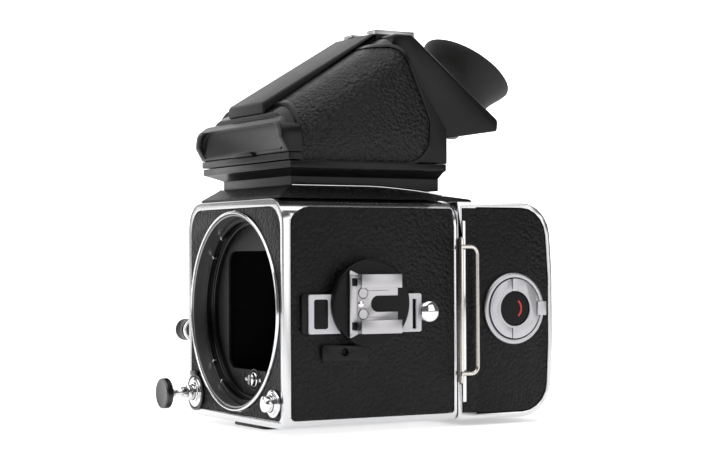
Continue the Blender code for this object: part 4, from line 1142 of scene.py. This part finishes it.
@dataclass
class ShoeAdaptor:
    """Side rail with its plate, the round spacer and the accessory shoe."""

    shoe_z: float = 45.1
    shoe_front: float = 25.4
    floor: float = 52.1
    edge: float = 11.7
    body: str = "camera_body"

    def build(self) -> None:
        """Builds and dresses the pieces."""
        carry("side_rail", 0.25, self.body, "black_enamel", "black_alloy")
        carry("adaptor_plate", 0.14, self.body, "plate_grey", "light_grey_alloy")
        window = flat(
            "plate_label_window",
            rounded([(12.0, 35.4, 0.9), (18.2, 35.4, 0.9), (18.2, 47.0, 0.9), (12.0, 47.0, 0.9)]),
            47.1, 47.37, Plane.SIDE, 0.05,
        )
        fit(window, self.body, "disc_black", "black_alloy")
        disc = lathe(
            "adaptor_round_spacer",
            [(16.6, 0.0), (17.3, 0.1), (17.4, 0.3), (17.4, 2.3), (17.25, 2.7), (16.9, 2.95), (16.3, 3.0)],
            (47.6, 36.4, 45.3), Facing.LEFT, 128, ring=False,
        )
        fit(disc, self.body, "disc_black", "black_alloy", "adaptor_disc")
        carry("accessory_shoe", 0.18, self.body, "brushed_silver", "light_grey_alloy")
        self.build_shoe_details()
        socket = refined("flash_socket_plate", 0.25)
        fit(socket, self.body, "black_enamel", "black_alloy", "flash_socket_plate")

    def build_shoe_details(self) -> None:
        """Builds the shoe's flared nose, windows, screws and pin."""
        for label, side in (("upper", 1), ("lower", -1)):
            rim = self.shoe_z + side * (self.edge - 0.2)
            tip = self.shoe_z + side * (self.edge + 1.5)
            front = self.shoe_front
            flare = flat(
                f"shoe_flare_{label}", [(front, rim), (front, tip), (front + 0.6, tip), (front + 4.4, rim)],
                50.95, 52.05, Plane.SIDE, 0.12,
            )
            fit(flare, self.body, "brushed_silver", "light_grey_alloy")
            near, far = sorted((self.shoe_z + side * 7.1, self.shoe_z + side * 10.2))
            window = block(
                f"shoe_window_{label}", (self.floor - 0.4, 26.3, near), (self.floor + 0.12, 28.7, far), 0.1
            )
            fit(window, self.body, "disc_black", "light_grey_alloy")
        for label, height in (("upper", 49.4), ("lower", 41.1)):
            place = (self.floor, 31.4, height)
            head = lathe(
                f"shoe_screw_{label}", [(2.0, -0.2), (2.0, 0.04), (1.9, 0.12)], place, Facing.LEFT, 48, ring=False
            )
            low, high = (self.floor, 28.0, height - 0.16), (self.floor + 0.5, 35.0, height + 0.16)
            carve(head, block("screw_slot", low, high))
            fit(head, self.body, "brushed_silver", "light_grey_alloy")
            gap = arc_bar(
                f"shoe_screw_gap_{label}", 2.0, 2.22, -0.1, 0.03, place, Facing.LEFT, 0.0, 359.5, 48
            )
            fit(gap, self.body, "disc_black", "light_grey_alloy")
        pin = lathe(
            "shoe_pin", [(1.3, -0.2), (1.3, 0.12), (1.1, 0.25)],
            (self.floor, 30.3, self.shoe_z), Facing.LEFT, 40, ring=False,
        )
        fit(pin, self.body, "lug_steel", "light_grey_alloy")
        for index, offset in enumerate((-6.6, -5.2, 5.2, 6.6, -1.9, 1.9)):
            rear = 43.0 if abs(offset) > 4 else 34.0
            height = self.shoe_z + offset
            groove = block(
                f"shoe_wear_line_{index + 1}", (self.floor - 0.1, 29.5, height - 0.1), (
                    self.floor + 0.03, rear, height + 0.1
                )
            )
            soften(groove, 0.03, 1)
            fit(groove, self.body, "wear_line", "light_grey_alloy")


@dataclass
class Magazine:
    """Film magazine with its leathers, catch and film crank."""

    front: float = 80.4
    body: str = "magazine"

    def build(self) -> None:
        """Builds and dresses the pieces."""
        carry("magazine_shell", 0.3, self.body, "satin_chrome", "satin_chrome_alloy")
        carry("magazine_leather", 0.2, self.body, "leather", "black_leather")
        strip = block("magazine_strip_cover", (43.6, 82.9, 0.1), (44.4, 89.9, 83.3), 0.05)
        fit(strip, self.body, "leather", "black_leather", "magazine_strip_leather")
        carry("pressure_plate", 0.2, self.body, "inner_black", "black_inside")
        guide = block("darkslide_guide", (44.3, 82.5, 4.0), (45.1, 84.1, 78.4), 0.2)
        fit(guide, self.body, "bright_chrome", "satin_chrome_alloy")
        catch = refined("magazine_catch", 0.4)
        fit(catch, "magazine_catch", "black_enamel", "black_alloy", "magazine_catch")
        carry("film_crank", 0.3, "film_crank", "bright_chrome", "bright_chrome")
        carry("darkslide_blade", 0.1, "darkslide", "slide_steel", "slide_steel")
        self.build_handle()

    def build_handle(self) -> None:
        """Builds the bent wire of the darkslide with its two soldered feet."""
        x, middle, reach, bend = 47.1, 41.7, 26.0, 3.0
        near, far = self.front - 0.3, self.front + 7.9
        route = [(x, near, middle - reach)]
        for step in range(9):
            angle = math.radians(90 * step / 8)
            route.append((x, far - bend + bend * math.sin(angle), middle - reach + bend - bend * math.cos(angle)))
        for step in range(9):
            angle = math.radians(90 * step / 8)
            route.append((x, far - bend + bend * math.cos(angle), middle + reach - bend + bend * math.sin(angle)))
        route.append((x, near, middle + reach))
        handle = wire("darkslide_wire", route, 0.9)
        fit(handle, "darkslide", "slide_steel", "slide_steel", "darkslide_handle")
        spine = block(
            "darkslide_edge", (45.2, self.front + 0.2, middle - 29.6), (46.9, self.front + 1.7, middle + 29.6), 0.25
        )
        fit(spine, "darkslide", "slide_steel", "slide_steel")


@dataclass
class FilmInsert:
    """Insert cover, spools and the folding key."""

    centre: tuple = (44.8, 107.7, 42.0)
    body: str = "insert"

    def build(self) -> None:
        """Builds and dresses the pieces."""
        carry("insert_cover", 0.2, self.body, "black_enamel", "black_alloy")
        carry("insert_leather", 0.05, self.body, "leather", "black_leather")
        for node in ("supply_spool", "take_up_spool"):
            fit(refined(node, 0.3), node, "black_plastic", "black_plastic", node)
        ring = lathe(
            "key_outer_ring",
            [(12.9, 0.0), (14.9, 0.0), (14.9, 0.75), (14.75, 1.1), (14.35, 1.35), (13.9, 1.4), (13.3, 1.4), (
                13.0, 1.25
            ),
             (12.9, 1.0)],
            self.centre, Facing.LEFT, 128,
        )
        fit(ring, self.body, "key_silver", "light_grey_alloy", "film_key_ring")
        floor = lathe(
            "key_groove_floor", [(12.0, 0.02), (13.2, 0.02), (13.2, 0.3), (12.0, 0.3)], self.centre, Facing.LEFT, 96
        )
        fit(floor, self.body, "disc_black", "black_alloy")
        dial = lathe(
            "key_centre_dial", [(7.0, 0.0), (7.0, 1.0), (6.85, 1.22), (6.5, 1.3)],
            self.centre, Facing.LEFT, 96, ring=False,
        )
        fit(dial, self.body, "dial_black", "black_alloy", "film_key_dial")
        mark = arc_bar("key_red_arc", 3.55, 4.35, 1.2, 1.36, (44.8, 106.9, 42.0), Facing.LEFT, -52.0, 104.0, 32)
        fit(mark, self.body, "red_mark", "black_alloy")
        carry("film_key_disc", 0.14, "film_key", "key_silver", "light_grey_alloy")
        carry("film_key_flap", 0.14, "film_key_flap", "key_silver", "light_grey_alloy")
        for label, start in (("disc", 97.0), ("flap", -82.0)):
            body = "film_key" if label == "disc" else "film_key_flap"
            step = arc_bar(f"key_hub_step_{label}", 7.45, 8.3, 1.5, 1.68, self.centre, Facing.LEFT, start, 164.0, 48)
            soften(step, 0.05, 1)
            fit(step, body, "key_silver", "light_grey_alloy")
        tab = block("key_finger_tab", (46.25, 118.7, 39.0), (46.95, 123.2, 44.9), 0.25)
        fit(tab, "film_key_flap", "key_silver", "light_grey_alloy")


@dataclass
class Finder:
    """Prism finder: base, housing, bezel, roof strip, shoe, eyepiece and cup. Heights run from the body's top."""

    top: float = 86.7
    half: float = 38.0
    shoulder: float = 14.0
    belt: float = 40.7
    slope: float = 0.634
    start: tuple = (7.9, 36.2)
    flare: float = 0.74
    skin: tuple = (0.2, 0.9)
    frame: tuple = (0.1, 1.35)
    body: str = "finder"

    def up(self, outline: list[tuple]) -> list[tuple]:
        """Lifts outline points from the body's top to body millimetres."""
        return [(point[0], point[1] + self.top, *point[2:]) for point in outline]

    def roof(self, name: str, offset: float) -> Piece:
        """A long bar with rounded shoulders that follows the roof, grown outwards by offset."""
        side = self.half + offset
        radius = self.shoulder + offset
        corners = [(-side, -90, 0), (side, -90, 0), (side, offset, radius), (-side, offset, radius)]
        bar = flat(name, rounded(corners, 12), -60, 140, Plane.FRONT)
        bar.location = -DATUM.at(0, 40, 0)
        settle(bar)
        bar.rotation_euler = (math.atan(self.slope), 0, 0)
        settle(bar)
        bar.location = DATUM.at(0, self.start[0], self.top + self.start[1])
        settle(bar)
        return bar

    def build(self) -> None:
        """Builds and dresses the pieces."""
        self.build_fairing()
        self.build_housing()
        self.build_front()
        self.build_spine()
        self.build_eyepiece()

    def build_fairing(self) -> None:
        """Builds the grained fairing on the body with its thin bright edges."""
        fairing = refined("finder_fairing")
        low, high = -0.4, 6.5
        wide, narrow = (33.5 + self.flare * (5.6 - z) for z in (low, high))
        sides = self.up([(-wide, low), (wide, low), (narrow, high), (-narrow, high)])
        keep(fairing, flat("fairing_sides", sides, -20, 120, Plane.FRONT))
        round_off(fairing, 0.25, 2)
        fit(fairing, "camera_body", "fairing_grain", "black_alloy", "finder_fairing")
        along = [(9.6, 5.7), (44.5, 5.7), (50.5, 5.5), (56.5, 5.1), (62.5, 4.55), (68.5, 3.95), (73.5, 3.2),
                 (78.3, 2.45)]
        for label, side in SIDES:
            route = [(side * (33.5 + self.flare * max(0.0, 5.6 - z)), y, self.top + z - 0.05) for y, z in along]
            edge = wire(f"fairing_bright_edge_{label}", route, 0.26)
            fit(edge, "camera_body", "bright_chrome", "bright_chrome")

    def build_housing(self) -> None:
        """Builds the base, the housing with its leathers, and the raised frames around them."""
        base = refined("finder_base", 0.35)
        fit(base, self.body, "black_enamel", "black_alloy", "finder_base")
        fit(refined("prism_housing", 0.6, 3), self.body, "black_enamel", "black_alloy", "prism_housing")
        carry("glass_prism", 0.3, self.body, "glass", "clear_glass")
        outline = rounded(self.up([
            (11.4, 15.4, 1.0), (70.3, 15.4, 11.5), (70.5, 33.0, 8.0), (57.2, 62.9, 6.0), (38.0, 62.9, 0.0), (
                11.4, 48.0, 0.0
            ),
        ]), 10)
        for node, label, side in (("left_prism_leather", "left", 1), ("right_prism_leather", "right", -1)):
            near, far = sorted((side * 17.2, side * 41.5))
            skin = flat(f"prism_skin_{label}", outline, near, far, Plane.SIDE)
            keep(skin, self.roof("skin_outer", self.skin[1]))
            carve(skin, self.roof("skin_inner", self.skin[0]))
            round_off(skin, 0.12, 2)
            fit(skin, self.body, "finder_leather", "black_leather", node)
            rim = rounded(self.up([
                (9.9, 13.7, 1.0), (71.8, 13.7, 13.5), (71.9, 33.4, 9.0), (58.3, 64.5, 7.0), (38.0, 64.5, 0.0), (
                    9.9, 52.0, 0.0
                ),
            ]), 10)
            frame_piece = flat(f"leather_frame_{label}", rim, near, far, Plane.SIDE)
            keep(frame_piece, self.roof("frame_outer", self.frame[1]))
            hole_near, hole_far = sorted((side * 10.0, side * 60.0))
            carve(
                frame_piece,
                self.roof("frame_inner", self.frame[0]),
                flat("frame_hole", outline, hole_near, hole_far, Plane.SIDE),
            )
            round_off(frame_piece, 0.25, 2)
            fit(frame_piece, self.body, "black_enamel", "black_alloy")

    def build_front(self) -> None:
        """Builds the front bezel with its recess and the small ledge below it."""
        half = self.belt + 0.1
        side = rounded(self.up([
            (10.9, 18.3, 0.0), (10.9, 32.8, 1.0), (4.2, 32.8, 2.6), (1.5, 29.6, 2.4), (1.5, 23.6, 3.0), (
                4.6, 18.3, 1.0
            ),
        ]), 6)
        bezel = flat("finder_front_bezel", side, -half, half, Plane.SIDE)
        corners = self.up([(-half, 10.0, 0.0), (half, 10.0, 0.0), (half, 32.9, 9.0), (-half, 32.9, 9.0)])
        keep(bezel, flat("bezel_shape", rounded(corners, 8), -6, 20, Plane.FRONT))
        inner = self.half + 0.3
        pocket = block("bezel_pocket", (-inner, 5.6, self.top), (inner, 20, self.top + 60))
        rim = self.up([(4 - half, 19.2, 2.5), (half - 4, 19.2, 2.5), (half - 4, 30.2, 6.5), (4 - half, 30.2, 6.5)])
        recess = flat("bezel_recess", rounded(rim, 8), -6, 4.0, Plane.FRONT)
        carve(bezel, pocket, recess)
        round_off(bezel, 0.55, 3)
        fit(bezel, self.body, "black_enamel", "black_alloy", "finder_front")
        sill = block("bezel_sill", (-half, 4.6, self.top + 15.3), (half, 10.9, self.top + 18.15))
        carve(sill, block("sill_pocket", (-inner, 6.2, self.top), (inner, 20, self.top + 60)))
        round_off(sill, 0.4, 3)
        fit(sill, self.body, "black_enamel", "black_alloy")
        ledge = flat(
            "bezel_ledge", self.up([(-9.0, 18.2), (11.5, 18.2), (9.0, 19.9), (-6.5, 19.9)]),
            2.9, 4.6, Plane.FRONT, 0.2,
        )
        fit(ledge, self.body, "black_enamel", "black_alloy")

    def build_spine(self) -> None:
        """Builds the raised roof strip and the upper shoe."""
        profile = rounded(self.up([
            (5.4, 34.2, 1.0), (56.2, 66.4, 0.0), (58.9, 67.5, 0.0), (58.9, 70.6, 0.3), (56.8, 70.5, 1.0), (
                5.4, 39.6, 2.2
            ),
        ]), 5)
        spine = flat("roof_strip", profile, -16.4, 16.4, Plane.SIDE)
        round_off(spine, 1.2, 4, 50.0)
        fit(spine, self.body, "strip_black", "black_alloy", "roof_spine")
        for label, side in SIDES:
            near, far = sorted((side * 13.9, side * 16.4))
            rail = flat(
                f"roof_pad_{label}",
                rounded(self.up([
                    (58.5, 64.0, 0.0), (76.0, 63.0, 1.0), (76.0, 67.0, 1.0), (72.0, 70.6, 1.0), (58.5, 70.6, 0.0),
                ]), 4),
                near, far, Plane.SIDE, 0.3,
            )
            fit(rail, self.body, "strip_black", "black_alloy")
        carry("finder_shoe", 0.2, self.body, "brushed_silver", "light_grey_alloy")

    def build_eyepiece(self) -> None:
        """Builds the eyepiece block, the tube, the lens and the rubber cup."""
        fit(refined("eyepiece_block", 0.5, 3), self.body, "black_enamel", "black_alloy", "eyepiece_block")
        tilt = math.radians(55.0)
        axis = Vector((0, math.cos(tilt), math.sin(tilt)))
        centre = (0.0, 102.1, self.top + 42.8)
        tube = lathe(
            "eyepiece_barrel", [(12.5, 6.0), (12.5, -8.4), (10.6, -8.4), (10.6, 5.7), (10.9, 6.0)], centre, axis, 72
        )
        fit(tube, self.body, "dark_steel", "dark_steel", "eyepiece_tube")
        lens = lathe(
            "eyepiece_glass",
            [(10.3, -3.0), (10.3, -0.6), (8.6, 0.15), (6.4, 0.85), (4.0, 1.3), (1.6, 1.55)],
            centre, axis, 72, ring=False,
        )
        fit(lens, self.body, "glass", "clear_glass", "eyepiece_lens")
        cup = lathe(
            "eyepiece_cup",
            [(16.4, 1.6), (12.8, 1.6), (12.8, 8.0), (13.4, 10.6), (15.2, 14.6), (17.4, 18.4), (19.1, 20.9),
             (19.7, 21.4), (20.4, 21.5), (21.0, 21.1), (21.1, 20.5), (20.2, 18.2), (18.2, 14.4), (17.0, 11.6),
             (16.6, 9.4), (16.4, 7.0)],
            centre, axis, 96,
        )
        fit(cup, self.body, "rubber", "black_rubber", "eyecup")


# Studio --------------------------------------------------------------------------------------------------


@dataclass
class Studio:
    """White floor and backdrop, soft light and the camera."""

    eye: tuple = (646.78, -310.06, 61.96)
    target: tuple = (-22.38, 68.76, 76.09)
    roll: float = -0.2
    lens: float = 89.17
    sensor: float = 36.0
    sky: float = 0.12

    def area(self, name: str, place: tuple, aim: tuple, size: float, power: float) -> None:
        """Adds a square soft light that looks at a point, in body millimetres."""
        light = bpy.data.lights.new(name, "AREA")
        light.size = size
        light.energy = power
        lamp = bpy.data.objects.new(name, light)
        bpy.context.scene.collection.objects.link(lamp)
        lamp.location = DATUM.at(*place)
        aim_at = DATUM.at(*aim)
        lamp.rotation_euler = (aim_at - lamp.location).to_track_quat("-Z", "Y").to_euler()

    def paper(self, name: str, glow: float) -> bpy.types.Material:
        """White studio paper with light coming through it."""
        white = Paint(name)
        white.shader.inputs["Base Color"].default_value = (0.93, 0.93, 0.93, 1.0)
        white.shader.inputs["Roughness"].default_value = 1.0
        white.shader.inputs["Specular IOR Level"].default_value = 0.0
        white.shader.inputs["Emission Color"].default_value = (1.0, 1.0, 1.0, 1.0)
        white.shader.inputs["Emission Strength"].default_value = glow
        return white.material

    def build(self) -> None:
        """Builds the stage, the lights, the world and the camera."""
        deselect()
        floor_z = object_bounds()[0].z
        upright = (math.pi / 2, 0, math.radians(60.5))
        papers = (
            ("floor", 6.0, (0, 0, floor_z), (0, 0, 0), 0.5),
            ("backdrop", 5.0, (-1.7, 0.95, floor_z), upright, 1.15),
        )
        for label, size, place, turn, glow in papers:
            bpy.ops.mesh.primitive_plane_add(size=size, location=place, rotation=turn)
            sheet = bpy.context.object
            sheet.name = f"studio_{label}"
            sheet.data.materials.append(self.paper(f"studio_{label}_white", glow))
            sheet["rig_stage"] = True

        lights = (
            ("top_light", (80, -40, 900), (0, 50, 60), 1.2, 9.0),
            ("right_light", (900, 560, 330), (44, 50, 60), 0.55, 1.6),
            ("front_light", (-560, -760, 380), (0, 0, 50), 0.6, 2.2),
        )
        for label, place, aim, size, power in lights:
            self.area(label, place, aim, size, power)

        world = bpy.data.worlds.new("studio")
        bpy.context.scene.world = world
        world.use_nodes = True
        sky = world.node_tree.nodes["Background"]
        sky.inputs["Color"].default_value = (1.0, 1.0, 1.0, 1.0)
        sky.inputs["Strength"].default_value = self.sky

        camera = bpy.data.cameras.new("camera")
        camera.lens = self.lens
        camera.sensor_width = self.sensor
        camera.clip_start = 0.01
        view = bpy.data.objects.new("camera", camera)
        bpy.context.scene.collection.objects.link(view)
        view.location = DATUM.at(*self.eye)
        look = (DATUM.at(*self.target) - view.location).to_track_quat("-Z", "Y")
        view.rotation_euler = (look.to_matrix() @ Matrix.Rotation(math.radians(self.roll), 3, "Z")).to_euler()
        bpy.context.scene.camera = view
        bpy.context.scene.view_settings.view_transform = "Standard"


def main() -> None:
    """Builds every sub-assembly, then the studio."""
    logging.basicConfig(level=logging.INFO)
    assemblies = (
        BodyShell(), Mount(), Shutters(), FrontButtons(), WindingCrank(), ShoeAdaptor(), Magazine(), FilmInsert(),
        Finder(), Studio(),
    )
    for assembly in assemblies:
        assembly.build()


if __name__ == "__main__":
    main()
